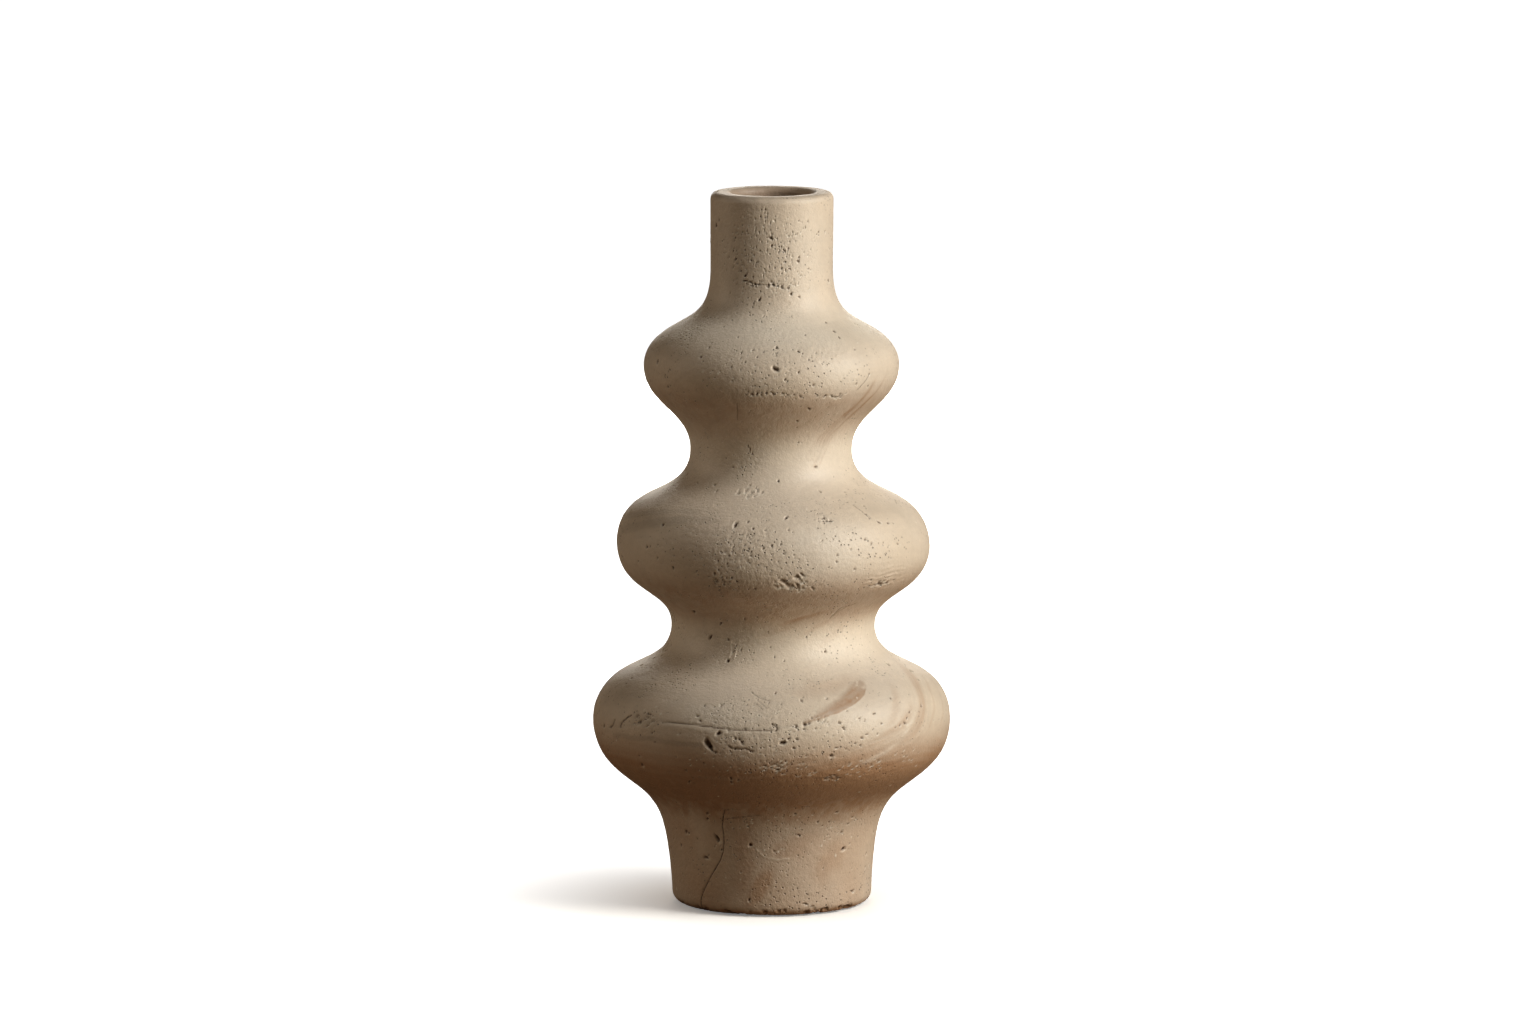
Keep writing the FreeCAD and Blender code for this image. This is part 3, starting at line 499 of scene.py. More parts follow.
# pale flecks
for a0, zc, a, b, ang in [(-24.7, 229.6, .8, .5, 60), (-39.5, 88.3, .7, .5, 0), (-42.6, 90.8, .6, .4, 30), (3, 71.2, .7, .4, 40),
                          (-27, 86.4, .7, .4, 60), (-5.8, 221.4, .6, .5, 0), (1.6, 221.7, .6, .4, 60), (9, 221, .6, .4, 0),
                          (28, 219.8, .8, .4, -30), (9.6, 143.8, 1.1, .5, -30), (4, 142.7, 1.0, .5, -20), (12, 142.6, .8, .4, -40),
                          (-15.4, 263.8, .5, .5, 0), (-24, 265, .7, .4, 0), (-23.6, 107.6, .7, .6, 0), (-18.2, 108.2, .5, .4, 0),
                          (-32.5, 229.9, .7, .5, 0), (-28.4, 229.8, .6, .45, 0)] + [
        (rng.uniform(0, 360), rng.uniform(5, 292), rng.uniform(.3, .8), rng.uniform(.25, .5), rng.uniform(0, 180)) for _ in range(150)]:
    w = window(a0, row_s(zc), 3)
    if w is None:
        continue
    ii, jj, u, v = w
    c, s = math.cos(math.radians(ang)), math.sin(math.radians(ang))
    q = np.hypot((u * c + v * s) / max(a, .4), (-u * s + v * c) / max(b, .32)) + 0.3 * n1[ii, jj]
    f = 1 - smooth(0.4, 1.3, q)
    pale[ii, jj] = np.maximum(pale[ii, jj], 0.9 * f)
    disp[ii, jj] += 0.10 * f

for a0, zt, zb in [(-24.4, 116, 108.3), (-21.4, 115, 109.5)]:
    groove(0.30, -0.20, [(a0, zt), (a0 + .8, (zt + zb) / 2), (a0 + .4, zb)])
disp += lines

def across(pts):
    """Like path_distance, but measured square to the path."""
    a = np.array([p[0] for p in pts], float)
    h = np.array([row_s(p[1]) for p in pts])
    r = np.array([float(np.interp(p[1], z0[3:top_row], r0[3:top_row])) for p in pts])
    slope = np.gradient(h, np.radians(a)) / r
    d = SS - np.interp(AD, a, h)
    return d / np.sqrt(1 + np.interp(AD, a, slope) ** 2), (AD >= a[0]) & (AD <= a[-1])


# crease on the largest bulb: a step with a fuller lip under it, painted shade just above the step and a painted
# highlight along the lip
d, on = across([(-60, 79.4), (-56.2, 80.6), (-47.3, 83.3), (-40.1, 85.1), (-33.3, 85.5), (-25.1, 85.4), (-15.8, 84.5), (-6.5, 84.0),
                (0.2, 84.3), (3, 85), (8, 85.8), (14, 86.9)])
fade = on * smooth(-60, -50, AD) * (1 - smooth(6, 14, AD)) * (0.8 + 0.5 * n7)
dd = d + 0.35 * n7 + 0.35 * n3 + 0.2 * n16
disp += fade * 0.13 * (np.exp(-((dd + 1.3) / 1.2) ** 2) - 0.8 * smooth(-1.0, 1.0, dd) * (1 - smooth(0.5, 9, dd)))
# painted highlight along the lip under the step
pale = np.maximum(pale, fade * 0.12 * np.exp(-((dd + 1.2) / 0.8) ** 2))
# painted shade just above the step
tone *= 1 - 0.13 * fade * np.exp(-((dd - 0.4) / 0.8) ** 2)

# brown smear: sharp below, blunt on the right, with a haze over it
lo_d, on = path_distance([(9.1, 86.4), (11.4, 87.2), (17.6, 88.7), (23.5, 90.7), (29.9, 93.3), (35.4, 96.1), (38.4, 98.2), (42, 100.6)])
hi_d, _ = path_distance([(9.1, 87.0), (10.8, 88.0), (13.3, 89.5), (18, 92.6), (24.3, 96.2), (31.8, 99.8), (36.7, 101.2), (42, 101.8)])
drawn = noise(AD / 22, lo_d / 1.7 + n7 * .3, np.full_like(lo_d, 6.2))
smear = on * smooth(-0.35, 0.30, lo_d + 0.25 * n3 + 0.25 * n7) * (1 - smooth(-3.0, 1.6, hi_d + 0.9 * n7 + 0.7 * n3 + 0.9 * drawn))
smear = smear * smooth(9, 11, AD) * (1 - smooth(34, 42, AD + 3.5 * n3 + 2.5 * n7 + 4 * drawn))
stain_and_painted_shade = np.maximum(stain_and_painted_shade, smear * np.clip(0.58 + 0.26 * np.exp(-np.abs(lo_d) / 1.2) + 0.34 * drawn + 0.16 * n3 + 0.12 * n16, 0, 1))
tone *= 1 - 0.20 * smear
disp += 0.06 * smear - 0.10 * on * np.exp(-((lo_d + 0.5) / 0.6) ** 2) * (1 - smooth(18, 30, AD))
stain_and_painted_shade = np.maximum(stain_and_painted_shade, 0.28 * patch(25, 100, 13, 4.5, .8, .6, 14))
pale = np.maximum(pale, 0.20 * on * np.exp(-((lo_d + 1.0) / 0.8) ** 2) * (1 - smooth(26, 38, AD)))

# swirl: sweeping brush strokes on the right of the largest bulb
MAIN = [(24.4, 69.1), (32, 71.8), (43.2, 75.1), (52.9, 79.6), (58.1, 85.5), (61.6, 90.8), (65.5, 95.9), (74.4, 100.2), (82, 103)]
d, on = across(MAIN)
hair = noise(AD / 50, d / 0.55, np.full_like(d, 3.3)) + 0.6 * noise(AD / 30, d / 1.3, np.full_like(d, 9.1))
sweep = on * smooth(24, 34, AD) * (1 - smooth(72, 82, AD)) * (1 - smooth(6, 12, np.abs(d)))
disp += 0.045 * sweep * hair
tone *= 1 + 0.055 * sweep * hair
for pts, half, k in [(MAIN, 2.7, .42),
                     ([(20, 71.6), (22.4, 72.4), (28.5, 73.9), (35.7, 77.6), (43.3, 81.1), (51.5, 86.7), (57, 92)], 2.1, .42),
                     ([(38, 81), (43.1, 86.3), (46.9, 91), (51.2, 96.5), (55, 100)], 2.1, .26),
                     ([(24, 66.6), (27.4, 66.2), (40.9, 65.4), (54.7, 68.1), (66.7, 74.9), (74.6, 83.5), (80, 91.7), (88.4, 97.7)], 0.8, .22),
                     ([(30, 65.6), (36.1, 67.4), (48.5, 70.9), (59.2, 76.7), (66.3, 85.1), (71.9, 93.1), (86.3, 99.7)], 0.9, .26)]:
    d, on = across(pts)
    f = on * smooth(pts[0][0], pts[0][0] + 6, AD) * (1 - smooth(pts[-1][0] - 8, pts[-1][0], AD))
    b = f * np.exp(-(np.abs(d + 0.5 * n7) / half) ** 3)
    stain_and_painted_shade = np.maximum(stain_and_painted_shade, k * b * np.clip(0.85 + 0.45 * hair, 0, 1.3))
    disp -= 0.05 * b
# brushed ripples under the strokes
low_r = patch(22, 67, 30, 8, .8, .5)
wave = noise(AD / 9 + 0.3 * n7, d / 0.75 + 0.5 * n7, np.full_like(d, 4.4)) + 0.7 * n3
disp += 0.10 * low_r * wave
tone *= 1 + 0.06 * low_r * wave
d, on = across([(28, 68.5), (33.4, 70.9), (40.3, 74.7), (45.4, 78.2), (50.1, 83.1), (55, 89)])
b = on * smooth(28, 33, AD) * (1 - smooth(49, 55, AD)) * np.exp(-((d + 1.2 + 0.5 * n7) / 1.0) ** 2) * np.clip(0.8 + hair, 0, 1)
pale = np.maximum(pale, 0.36 * b)
disp += 0.07 * b
# brushed shoulder of the smallest bulb, and dull bands on the left of the middle one
for pts, reach, k, dull in [([(-74, 236), (-65.2, 240.2), (-58.5, 244.5), (-44.6, 250.9), (-19.6, 257.6), (2.9, 261.9), (20, 264)], 6, 1.0, .05),
                            ([(-84, 158), (-68.9, 161.6), (-50.2, 166.3), (-35.4, 168.4), (-18, 169)], 3, .9, .12),
                            ([(-84, 164), (-60, 169), (-44, 171.2), (-26, 171.6)], 2.2, .8, .09),
                            ([(-80, 88), (-60, 93), (-40, 97), (-20, 99)], 5, .8, .04),
                            ([(-66, 75), (-60.5, 76.1), (-42.2, 77.8), (-24.2, 77.3), (-12, 76)], 1.5, .4, .17)]:
    d, on = across(pts)
    f = on * smooth(pts[0][0], pts[0][0] + 8, AD) * (1 - smooth(pts[-1][0] - 10, pts[-1][0], AD))
    h = noise(AD / 40, d / 0.6, np.full_like(d, reach + 1.7))
    f = f * (1 - smooth(.5 * reach, reach, np.abs(d + 0.8 * n7)))
    disp += 0.04 * k * f * h
    tone *= (1 + 0.05 * k * f * h) * (1 - dull * f)
# darker band across the left half
b = patch(-30, 77.4, 34, 2.0, .6, .6)
stain_and_painted_shade = np.maximum(stain_and_painted_shade, 0.20 * b * (0.8 + 0.5 * st2))
# similar bands and smears round the rest, one family per bulb
for zc, amp, half in [(78, 10, 2.2), (92, 6, 1.2), (66, 5, 1.4), (152, 7, 1.8), (162, 5, 1.2), (230, 4, 1.5), (112, 4, 1.6), (190, 3, 1.5),
                      (30, 6, 2.4), (270, 8, 2.0), (284, 4, 1.4)]:
    ph = rng.uniform(0, 6.28)
    h = row_s(zc) + amp * np.sin(AZ * 1.0 + ph) + 0.4 * amp * np.sin(2 * AZ + 2 * ph)
    gate = smooth(78, 100, np.abs(AD)) * smooth(-.1, .6, n24 + 0.6 * n60 + 0.2)
    b = gate * np.exp(-((SS - h + 1.2 * n7) / half) ** 2)
    stain_and_painted_shade = np.maximum(stain_and_painted_shade, 0.34 * b * (0.85 + 0.4 * st1))
    disp -= 0.06 * b

# ripples low on the right of the middle bulb
rip = patch(47, 143.5, 10, 6.0, .6, .4)
wave = np.sin((SS - row_s(140)) * 2.9 + 2.6 * n7 + 1.3 * n3) * (0.55 + 0.9 * n3)
disp += 0.20 * rip * wave
tone *= 1 + 0.05 * rip * wave
# burnished streaks down the right of the upper waist
for a1, a2, zt, zb, half in [(56, 30, 227, 190, 0.9), (53, 27, 222, 192, 0.5), (50, 33, 218, 188, 0.45), (60, 38, 222, 194, 0.6),
                             (44, 31, 205, 186, 0.6), (47, 36, 203, 187, 0.4), (64, 44, 228, 200, 0.5), (36, 26, 204, 193, 0.4)]:
    t = np.clip((zt - ZZ) / (zt - zb), 0, 1)
    u = np.radians(AD - (a1 + (a2 - a1) * t)) * RR
    b = np.exp(-np.abs((u + 0.9 * n7 + 0.3 * n3) / (1.5 * half)) ** 1.6) * smooth(zb - 2, zb + 6, ZZ) * (1 - smooth(zt - 8, zt + 2, ZZ))
    b = b * np.clip(0.75 + 0.8 * n7 + 0.4 * n24, 0.15, 1)
    stain_and_painted_shade = np.maximum(stain_and_painted_shade, 0.66 * b)
    tone *= 1 - 0.10 * b
    disp -= 0.08 * b
# brown run on the left of the foot, and a dirtier field right of the hairline
b = patch(-42, 47.5, 6.5, 1.7, .5, .4, 57)
stain_and_painted_shade = np.maximum(stain_and_painted_shade, 0.65 * b)
for a0, zc, w, h, k, an in [(-6, 14, 3.2, 12, .40, -32), (10, 30, 9, 5, .25, 20), (-16, 24, 4, 13, .28, 0), (34, 22, 5, 10, .22, -30),
                            (-51, 56, 3.4, 6.5, .8, 0), (-56, 50, 2.5, 8, .4, 0), (-2, 54, 12, 4, .4, 0), (-30, 66, 16, 5, .35, 0)]:
    stain_and_painted_shade = np.maximum(stain_and_painted_shade, k * patch(a0, zc, w, h, .6, .5, an))
# soft diagonal folds at the lower waist
for a0, zc, w, h, an, k in [(14, 126.5, 8, 1.5, 24, .62), (24, 122, 7, 1.0, 30, .34), (2, 121, 9, 1.3, 20, .28), (34, 117, 8, 1.4, 35, .22)]:
    b = patch(a0, zc, w, h, .7, .35, an)
    stain_and_painted_shade = np.maximum(stain_and_painted_shade, k * b)
    disp -= 0.30 * k * b
# pale waists, browner belly under the largest bulb
for zc, half in [(196, 13), (114, 11), (246, 7)]:
    pale = np.maximum(pale, np.exp(-((ZZ - zc) / half) ** 2) * np.clip(0.42 + 0.22 * n24 + 0.12 * n60, 0, 1))
belly = smooth(46, 55, ZZ) * (1 - smooth(66, 86, ZZ))
stain_and_painted_shade = np.maximum(stain_and_painted_shade, belly * np.clip(0.60 + 0.18 * n24 + 0.16 * st2, 0, 1))
field = smooth(-26, -22, AD) * (1 - smooth(30, 60, AD)) * (1 - smooth(42, 52, ZZ))
tone *= 1 - 0.05 * field
tone *= 1 - 0.14 * patch(-51, 55, 3.2, 6, .7, .4)
pale = np.maximum(pale, 0.20 * patch(-40, 38, 5, 14, .6, .4))

# chipped and ragged lower edge
edge = smooth(0.2, 2.2, s0)[:, None] * (1 - smooth(5.0, 9.5, SS - s0[3]))
rag = np.clip(solid(3.4, 21) + 0.5 * solid(1.5, 25) - 0.05, 0, 1)
front = smooth(-12, 0, AD) * (1 - smooth(50, 62, AD))
disp -= edge * rag * (1.3 + 2.2 * front)
dark = np.maximum(dark, 0.7 * edge * smooth(.15, .5, rag))
stain_and_painted_shade = np.maximum(stain_and_painted_shade, edge * (0.25 + 0.35 * front) * np.clip(0.7 + n7, 0, 1))

# brown fields: painted shade where the surface faces down under the bulbs, inside the mouth and on the lip top, and
# browner towards the bottom and on the foot
nzz = np.repeat(nz[:, None], N, 1)
# painted shade: brown where the surface faces down, under each bulb
painted_under_shade = smooth(0.05, 0.80, -nzz)
low = 1 - smooth(52, 76, ZZ)
run = noise(np.sin(AZ) * RR / 3.0 + 2, np.cos(AZ) * RR / 3.0, SS / 16)
brown_and_painted_shade = painted_under_shade * (0.48 + 0.34 * low) * (1 + 0.35 * run)
brown_and_painted_shade = np.maximum(brown_and_painted_shade, low * 0 + 0.62 * np.exp(-((ZZ - 62) / 8.0) ** 2))
brown_and_painted_shade = np.maximum(brown_and_painted_shade, (1 - smooth(40, 64, ZZ)) * 0.42 * (0.85 + 0.5 * n24))
brown_and_painted_shade = np.maximum(brown_and_painted_shade, (1 - smooth(0.8, 4.5, ZZ)) * 0.85)
# painted shade: browner and darker going down inside the mouth
mouth_painted_shade = np.repeat((smooth(0.5, 7, s0 - s0[top_row]) * (np.arange(rows) > top_row))[:, None], N, 1)
brown_and_painted_shade = np.maximum(brown_and_painted_shade, 0.55 * mouth_painted_shade)
dark = np.maximum(dark, 0.28 * mouth_painted_shade)
# painted shade: the upward-facing top of the lip made darker and a little browner
lip_top_painted_shade = np.repeat(smooth(0.45, 0.95, nz)[:, None], N, 1) * (ZZ > 290)
tone *= 1 - 0.10 * lip_top_painted_shade
brown_and_painted_shade = np.maximum(brown_and_painted_shade, 0.16 * lip_top_painted_shade)
stain_and_painted_shade = np.clip(np.maximum(stain_and_painted_shade, 0) + brown_and_painted_shade * (1 - 0.5 * stain_and_painted_shade) + 0.05 * n24 + 0.05 * n60, 0, 1)
# paler areas on the front: the ones right of centre, where the lamp falls, are partly painted highlight and partly
# paler colour; the ones on the left are paler colour
for a0, zc, w, h, k in [(-36, 194, 8, 12, .3), (-34, 112, 12, 9, .3), (36, 206, 7, 12, .25), (10, 117, 14, 10, .2), (-20, 90, 18, 5, .22),
                        (30, 226, 14, 10, .2), (24, 160, 18, 12, .18), (-40, 270, 9, 18, .18), (36, 276, 10, 20, .15)]:
    pale = np.maximum(pale, k * patch(a0, zc, w, h, .6, .5))
for k in range(26):
    pale = np.maximum(pale, rng.uniform(.12, .3) * patch(rng.uniform(80, 280), rng.uniform(60, 290), rng.uniform(6, 16), rng.uniform(4, 12), .6, .5))

pale *= 1 - 0.85 * np.clip(dark, 0, 1)

# nothing moves on the underside's recess, and the lip only wavers
keep = smooth(s0[2], s0[2] + 1.2, SS)
disp *= keep
top_wave = 0.35 + 0.10 * noise(np.sin(AZ) * 1.3 + 5, np.cos(AZ) * 1.3, np.zeros_like(AZ)) + 0.05 * noise(np.sin(AZ) * 4 + 9, np.cos(AZ) * 4, np.zeros_like(AZ))

R = RR + disp * nr[:, None]
Z = ZZ + disp * nz[:, None] + top_wave * smooth(285, 298, ZZ)
Z = np.maximum(Z, 0.35)
# the casting leans and swells a little as it goes up
dz = [0, 36, 62, 80, 90, 100, 113, 121, 132, 138, 150, 162, 175, 193, 232, 285, 300]
dx = [-.04, -.34, -.04, -.2, .13, .5, .34, .5, .88, .8, .67, 0, -.55, -.38, -.13, .08, .08]
dy = [0, .15, .3, .25, .1, -.1, -.3, -.2, 0, .2, .35, .3, .1, -.2, -.3, -.1, 0]
zs = np.linspace(0, 300, 601)
ker = np.exp(-0.5 * (np.arange(-24, 25) / 8.0) ** 2)
ker /= ker.sum()
soften = lambda v: np.convolve(np.pad(np.interp(zs, dz, v), 24, mode="edge"), ker, "valid")
shift_x, shift_y = np.interp(ZZ, zs, soften(dx)), np.interp(ZZ, zs, soften(dy))
up = smooth(2, 14, ZZ)
oval = 1 + up * 0.0016 * np.cos(2 * AZ + 0.8 + ZZ / 60)
VX, VY = R * oval * np.sin(AZ) + shift_x * up, -R * oval * np.cos(AZ) + shift_y * up

# ---------------------------------------------------------------- mesh
caz = az[::4]


def ring(r, z):
    return np.c_[r * np.sin(caz), -r * np.cos(caz), np.full(COARSE, z)]


in_shift = lambda z: (float(np.interp(z, zs, soften(dx))), float(np.interp(z, zs, soften(dy))))
parts, starts, total = [], [], 0


def add(v):
    global total
    parts.append(v)
    total += len(v)
    return total - len(v)


under_rows = [add(ring(r, z)) for r, z in under]
full_rows = [add(np.c_[VX[i], VY[i], Z[i]]) for i in range(rows)]
inner_rows = []
for r, z in inside:
    p = ring(r, z)
    ax, ay = in_shift(z)
    k = float(np.clip((z - 12) / 8, 0, 1))
    w = noise(p[:, 0] / 30, p[:, 1] / 30, p[:, 2] / 30 + 40) * 0.25 + noise(p[:, 0] / 8, p[:, 1] / 8, p[:, 2] / 8 + 9) * 0.10
    w *= k
    inner_rows.append(add(np.c_[p[:, 0] * (1 + w / r) + k * ax, p[:, 1] * (1 + w / r) + k * ay, p[:, 2]]))
c_under, c_floor = add(np.array([[0, 0, 2.6]])), add(np.array([[0, 0, 10.6]]))
verts = np.vstack(parts) / 1000.0

# v of the bake layout, by row: the outside gets most of it
prof = np.vstack([[(0, 2.6)], under, full, inside, [(0, 10.6)]])
dens = np.r_[[.35] * (len(under) + 1), [1.0] * rows, [.30] * (len(inside) + 1)]
step = np.hypot(*np.diff(prof, axis=0).T) * (dens[1:] + dens[:-1]) / 2 + 1e-6
vv = np.r_[0, np.cumsum(step)]
vv = 0.004 + 0.992 * vv / vv[-1]
v_under, v_full, v_in = vv[1:1 + len(under)], vv[1 + len(under):1 + len(under) + rows], vv[1 + len(under) + rows:-1]

loops, sizes, uvs = [], [], []


def quads(a, b, n, va, vb):
    j = np.arange(n)
    k = (j + 1) % n
    loops.append(np.c_[a + j, a + k, b + k, b + j].ravel())
    sizes.append(np.full(n, 4))
    u0, u1 = j / n, (j + 1) / n
    uvs.append(np.stack([np.c_[u0, u1, u1, u0], np.c_[[va] * n, [va] * n, [vb] * n, [vb] * n]], -1).reshape(-1, 2))


def tri(idx, uv):
    loops.append(np.array(idx).ravel())
    sizes.append(np.full(len(idx), 3))
    uvs.append(np.array(uv, float).reshape(-1, 2))


def widen(c, f, vc, vf, flip):
    """Joins a coarse ring to a full one: the full one is four times as dense."""
    idx, uv = [], []
    for j in range(COARSE):
        C = [(c + j, j / COARSE, vc), (c + (j + 1) % COARSE, (j + 1) / COARSE, vc)]
        F = [(f + (4 * j + k) % N, (4 * j + k) / N, vf) for k in range(5)]
        for t in [(C[0], F[1], F[0]), (C[0], F[2], F[1]), (C[0], C[1], F[2]), (C[1], F[3], F[2]), (C[1], F[4], F[3])]:
            t = t[::-1] if flip else t
            idx.append([q[0] for q in t])
            uv.append([(q[1], q[2]) for q in t])
    tri(idx, uv)


def fan(centre, ring0, vc, vr, flip):
    idx, uv = [], []
    for j in range(COARSE):
        t = [(centre, (j + .5) / COARSE, vc), (ring0 + (j + 1) % COARSE, (j + 1) / COARSE, vr), (ring0 + j, j / COARSE, vr)]
        t = t[::-1] if flip else t
        idx.append([q[0] for q in t])
        uv.append([(q[1], q[2]) for q in t])
    tri(idx, uv)


fan(c_under, under_rows[0], vv[0], v_under[0], False)
for i in range(len(under) - 1):
    quads(under_rows[i], under_rows[i + 1], COARSE, v_under[i], v_under[i + 1])
widen(under_rows[-1], full_rows[0], v_under[-1], v_full[0], False)
for i in range(rows - 1):
    quads(full_rows[i], full_rows[i + 1], N, v_full[i], v_full[i + 1])
widen(inner_rows[0], full_rows[-1], v_in[0], v_full[-1], True)
for i in range(len(inside) - 1):
    quads(inner_rows[i], inner_rows[i + 1], COARSE, v_in[i], v_in[i + 1])
fan(c_floor, inner_rows[-1], vv[-1], v_in[-1], True)

loops, sizes, uvs = np.concatenate(loops).astype(np.int32), np.concatenate(sizes).astype(np.int32), np.concatenate(uvs)
me = bpy.data.meshes.new("vase")
me.vertices.add(len(verts))
me.vertices.foreach_set("co", verts.astype(np.float32).ravel())
me.loops.add(len(loops))
me.loops.foreach_set("vertex_index", loops)
me.polygons.add(len(sizes))
me.polygons.foreach_set("loop_start", np.r_[0, np.cumsum(sizes)[:-1]].astype(np.int32))
uvl = me.uv_layers.new(name="OFBake")
me.update(calc_edges=True)
uvl.data.foreach_set("uv", uvs.astype(np.float32).ravel())
me.shade_smooth()
if me.validate():
    print("mesh was corrected")

# ---------------------------------------------------------------- colour, per vertex
BASE = np.array([0.632, 0.537, 0.438])
BROWN = np.array([0.355, 0.193, 0.100])
# pale colour for chalk, also used for painted highlights
CHALK_AND_HIGHLIGHT = np.array([0.800, 0.735, 0.640])
PITCOL = np.array([0.080, 0.043, 0.022])


def colour(tone, stain_and_painted_shade, pale, dark):
    c = np.repeat(BASE[None], tone.size, 0) * tone.ravel()[:, None]
    for amount, col in ((stain_and_painted_shade, BROWN), (pale, CHALK_AND_HIGHLIGHT), (dark, PITCOL)):
        a = np.clip(amount.ravel(), 0, 1)[:, None]
        c = c * (1 - a) + col * a
    return c


hue = solid(38, 31)
main = colour(tone, stain_and_painted_shade * 0.92, pale, dark)
main *= np.array([1.0, 1.0, 1.0]) + hue.ravel()[:, None] * np.array([0.010, -0.004, -0.030])
nu, ni = len(under_rows) * COARSE, len(inner_rows) * COARSE
col = np.zeros((len(verts), 4), np.float32)
col[:, 3] = 1
# painted shade: the recess under the foot a fifth darker than the base colour
col[:nu, :3] = BASE * 0.80
col[nu:nu + rows * N, :3] = np.clip(main, 0.01, 0.95)
# painted shade: the inside, from below the lip down, a dark brown
col[nu + rows * N:, :3] = BASE * 0.10 + BROWN * 0.35 + PITCOL * 0.5
at = me.attributes.new("tint", "FLOAT_COLOR", "POINT")
at.data.foreach_set("color", col.ravel())
grit = np.zeros(len(verts), np.float32)
grit[:] = 0.4
grit[nu:nu + rows * N] = np.clip(rough + 0.6 * dark, 0, 1).ravel()
at = me.attributes.new("grit", "FLOAT", "POINT")
at.data.foreach_set("value", grit)

vase = bpy.data.objects.new("vase", me)
bpy.context.scene.collection.objects.link(vase)


# ---------------------------------------------------------------- materials
class Tree:
    def __init__(self, name):
        self.mat = bpy.data.materials.new(name)
        self.mat.use_nodes = True
        self.nt = self.mat.node_tree
        self.shader = next(n for n in self.nt.nodes if n.type == "BSDF_PRINCIPLED")

    def node(self, kind, **k):
        n = self.nt.nodes.new(kind)
        for a, b in k.items():
            setattr(n, a, b)
        return n

    def link(self, a, b):
        self.nt.links.new(a, b)

    def math(self, op, a, b=None, c=None, clamp=False):
        n = self.node("ShaderNodeMath", operation=op, use_clamp=clamp)
        for i, v in enumerate((a, b, c)):
            if v is None:
                continue
            if isinstance(v, (int, float)):
                n.inputs[i].default_value = v
            else:
                self.link(v, n.inputs[i])
        return n.outputs[0]

    def noise(self, scale, detail=2.0, rough=0.5, where=None):
        n = self.node("ShaderNodeTexNoise")
        n.inputs["Scale"].default_value = scale
        n.inputs["Detail"].default_value = detail
        n.inputs["Roughness"].default_value = rough
        if where is not None:
            self.link(where, n.inputs["Vector"])
        return n.outputs[0]


clay = Tree("plaster")
coord = clay.node("ShaderNodeTexCoord").outputs["Object"]
tint = clay.node("ShaderNodeAttribute", attribute_name="tint").outputs["Color"]
gritv = clay.node("ShaderNodeAttribute", attribute_name="grit").outputs["Fac"]
fine, grain, blotch = clay.noise(1500, 3, .6, coord), clay.noise(620, 2, .55, coord), clay.noise(150, 3, .55, coord)
vor = clay.node("ShaderNodeTexVoronoi")
vor.inputs["Scale"].default_value = 520
clay.link(coord, vor.inputs["Vector"])
gate = clay.noise(70, 2, .5, coord)
# pin holes: near a cell's centre, only where the slow noise and the grit allow
near = clay.math("SUBTRACT", 0.25, vor.outputs["Distance"])
near = clay.math("MULTIPLY", near, 7.0, clamp=True)
allow = clay.math("ADD", clay.math("MULTIPLY", gate, 1.1), clay.math("MULTIPLY", gritv, 0.30))
allow = clay.math("MULTIPLY", clay.math("SUBTRACT", allow, 0.62), 5.0, clamp=True)
pin = clay.math("MULTIPLY", near, allow, clamp=True)
amount = clay.math("ADD", 0.16, clay.math("MULTIPLY", gritv, 0.26))
f = clay.math("MULTIPLY", clay.math("SUBTRACT", fine, 0.5), amount)
g = clay.math("MULTIPLY", clay.math("SUBTRACT", grain, 0.5), 0.10)
b = clay.math("MULTIPLY", clay.math("SUBTRACT", blotch, 0.5), 0.13)
value = clay.math("ADD", clay.math("ADD", clay.math("ADD", 1.0, f), g), b)
value = clay.math("SUBTRACT", value, clay.math("MULTIPLY", pin, 0.55))
mul = clay.node("ShaderNodeVectorMath", operation="SCALE")
clay.link(tint, mul.inputs[0])
clay.link(value, mul.inputs["Scale"])
clay.link(mul.outputs[0], clay.shader.inputs["Base Color"])
ro = clay.math("ADD", clay.math("MULTIPLY", grain, 0.10), clay.math("MULTIPLY", gritv, 0.10))
clay.link(clay.math("ADD", ro, 0.42), clay.shader.inputs["Roughness"])
clay.shader.inputs["IOR"].default_value = 1.50
height = clay.math("ADD", clay.math("MULTIPLY", fine, 0.5), clay.math("MULTIPLY", grain, 0.9))
height = clay.math("SUBTRACT", height, clay.math("MULTIPLY", pin, 1.6))
bump = clay.node("ShaderNodeBump")
clay.link(height, bump.inputs["Height"])
bump.inputs["Distance"].default_value = 0.00034
clay.link(clay.math("ADD", 0.42, clay.math("MULTIPLY", gritv, 0.5), clamp=True), bump.inputs["Strength"])
clay.link(bump.outputs[0], clay.shader.inputs["Normal"])
me.materials.append(clay.mat)

pad = Tree("pad")
coord = pad.node("ShaderNodeTexCoord").outputs["Object"]
speck = pad.noise(2600, 3, .6, coord)
wide = pad.noise(300, 2, .5, coord)
ramp = pad.node("ShaderNodeMapRange")
pad.link(pad.math("ADD", pad.math("MULTIPLY", speck, .6), pad.math("MULTIPLY", wide, .4)), ramp.inputs[0])
ramp.inputs[1].default_value, ramp.inputs[2].default_value = 0.3, 0.7
ramp.inputs[3].default_value, ramp.inputs[4].default_value = 0.016, 0.034
mix = pad.node("ShaderNodeCombineColor")
for i in range(3):
    pad.link(ramp.outputs[0], mix.inputs[i])
pad.link(mix.outputs[0], pad.shader.inputs["Base Color"])
pad.link(pad.math("ADD", 0.62, pad.math("MULTIPLY", speck, .25)), pad.shader.inputs["Roughness"])
bump = pad.node("ShaderNodeBump")
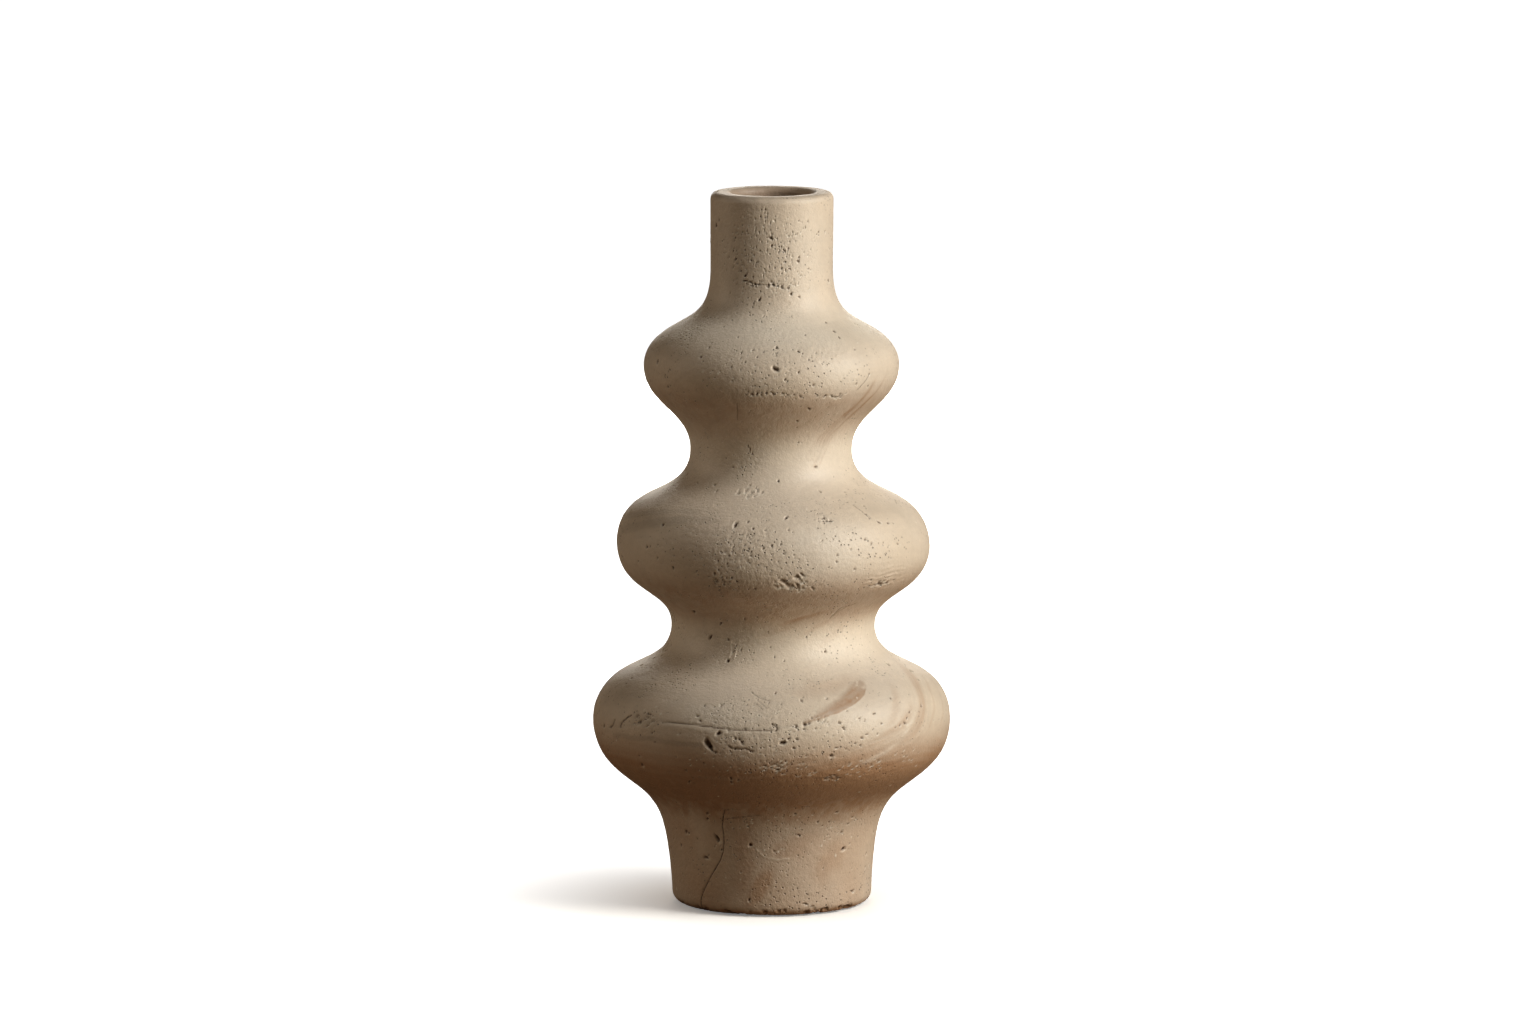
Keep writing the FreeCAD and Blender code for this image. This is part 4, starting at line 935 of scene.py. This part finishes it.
pad.link(speck, bump.inputs["Height"])
bump.inputs["Distance"].default_value = 0.00006
bump.inputs["Strength"].default_value = 0.6
pad.link(bump.outputs[0], pad.shader.inputs["Normal"])
for o in bpy.data.objects:
    if o.type == "MESH" and o.name.startswith("foot_pads"):
        for s in o.material_slots:
            s.material = pad.mat

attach(vase, "root")
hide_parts("vase_body")

# ---------------------------------------------------------------- floor, light, camera
fm = bpy.data.meshes.new("floor")
S = 30.0
fm.from_pydata([(-S, -S, 0), (S, -S, 0), (S, S, 0), (-S, S, 0)], [], [(0, 1, 2, 3)])
floor = bpy.data.objects.new("floor", fm)
bpy.context.scene.collection.objects.link(floor)
mat = bpy.data.materials.new("floor")
mat.use_nodes = True
nt = mat.node_tree
nt.nodes.clear()
N_ = nt.nodes.new
out, path, geo = N_("ShaderNodeOutputMaterial"), N_("ShaderNodeLightPath"), N_("ShaderNodeNewGeometry")
seen, unseen, pick, addn, em, dif = (N_("ShaderNodeBsdfDiffuse"), N_("ShaderNodeBsdfDiffuse"), N_("ShaderNodeMixShader"),
                                     N_("ShaderNodeAddShader"), N_("ShaderNodeEmission"), None)
seen.inputs[0].default_value = (0.56, 0.56, 0.56, 1)
unseen.inputs[0].default_value = (0.25, 0.185, 0.13, 1)
# painted light: camera rays see the floor glow, more the further from the foot, so the lamps' shadow shows only near
# the vase; bounced rays meet a dim brown floor instead
flat = N_("ShaderNodeVectorMath")
flat.operation = "LENGTH"
nt.links.new(geo.outputs["Position"], flat.inputs[0])
rise = N_("ShaderNodeMapRange")
nt.links.new(flat.outputs["Value"], rise.inputs[0])
rise.inputs[1].default_value, rise.inputs[2].default_value = 0.040, 0.135
rise.inputs[3].default_value, rise.inputs[4].default_value = 0.19, 1.05
nt.links.new(rise.outputs[0], em.inputs["Strength"])
twice = N_("ShaderNodeAddShader")
nt.links.new(seen.outputs[0], twice.inputs[0])
nt.links.new(seen.outputs[0], twice.inputs[1])
nt.links.new(twice.outputs[0], addn.inputs[0])
nt.links.new(em.outputs[0], addn.inputs[1])
nt.links.new(path.outputs["Is Camera Ray"], pick.inputs[0])
nt.links.new(unseen.outputs[0], pick.inputs[1])
nt.links.new(addn.outputs[0], pick.inputs[2])
nt.links.new(pick.outputs[0], out.inputs[0])
fm.materials.append(mat)

world = bpy.data.worlds.new("studio")
bpy.context.scene.world = world
world.use_nodes = True
nt = world.node_tree
nt.nodes.clear()
out, a, b2, pick, path = (nt.nodes.new(k) for k in ("ShaderNodeOutputWorld", "ShaderNodeBackground", "ShaderNodeBackground",
                                                    "ShaderNodeMixShader", "ShaderNodeLightPath"))
a.inputs[0].default_value, a.inputs[1].default_value = (1.0, 0.97, 0.93, 1), 0.012
b2.inputs[0].default_value, b2.inputs[1].default_value = (1, 1, 1, 1), 1.3
nt.links.new(path.outputs["Is Camera Ray"], pick.inputs[0])
nt.links.new(a.outputs[0], pick.inputs[1])
nt.links.new(b2.outputs[0], pick.inputs[2])
nt.links.new(pick.outputs[0], out.inputs[0])


def lamp(name, azim, elev, rgb, size=0.9, away=1.8):
    d = Vector((math.sin(math.radians(azim)) * math.cos(math.radians(elev)),
                -math.cos(math.radians(azim)) * math.cos(math.radians(elev)), math.sin(math.radians(elev))))
    ld = bpy.data.lights.new(name, "AREA")
    ld.shape, ld.size = "DISK", size
    top = max(rgb)
    ld.energy, ld.color = 20.0 * top, tuple(c / top for c in rgb)
    lo = bpy.data.objects.new(name, ld)
    lo.location = Vector((0, 0, 0.15)) + d * away
    lo.rotation_euler = (-d).to_track_quat("-Z", "Y").to_euler()
    bpy.context.scene.collection.objects.link(lo)
    lo.visible_camera = False


lamp("key", 64.5, 32, (1.28, 1.24, 1.15))
lamp("key_low", 65, 8, (0.73, 0.660, 0.520))
lamp("rim", 85, 32, (0.01, 0.04, 0.07))
lamp("fill", -92, 18, (0.295, 0.240, 0.178))
lamp("back", 180, 12, (0.50, 0.46, 0.40))

cam = bpy.data.cameras.new("camera")
cam.lens, cam.sensor_width, cam.clip_end = 237.03, 36, 100
co = bpy.data.objects.new("camera", cam)
co.location = (-0.0016, -4.2, 0.74)
co.rotation_euler = (math.radians(90 - 7.79238), 0, 0)
bpy.context.scene.collection.objects.link(co)
bpy.context.scene.camera = co
bpy.context.scene.view_settings.view_transform = "Standard"

print("faces", len(sizes), "rows", rows)
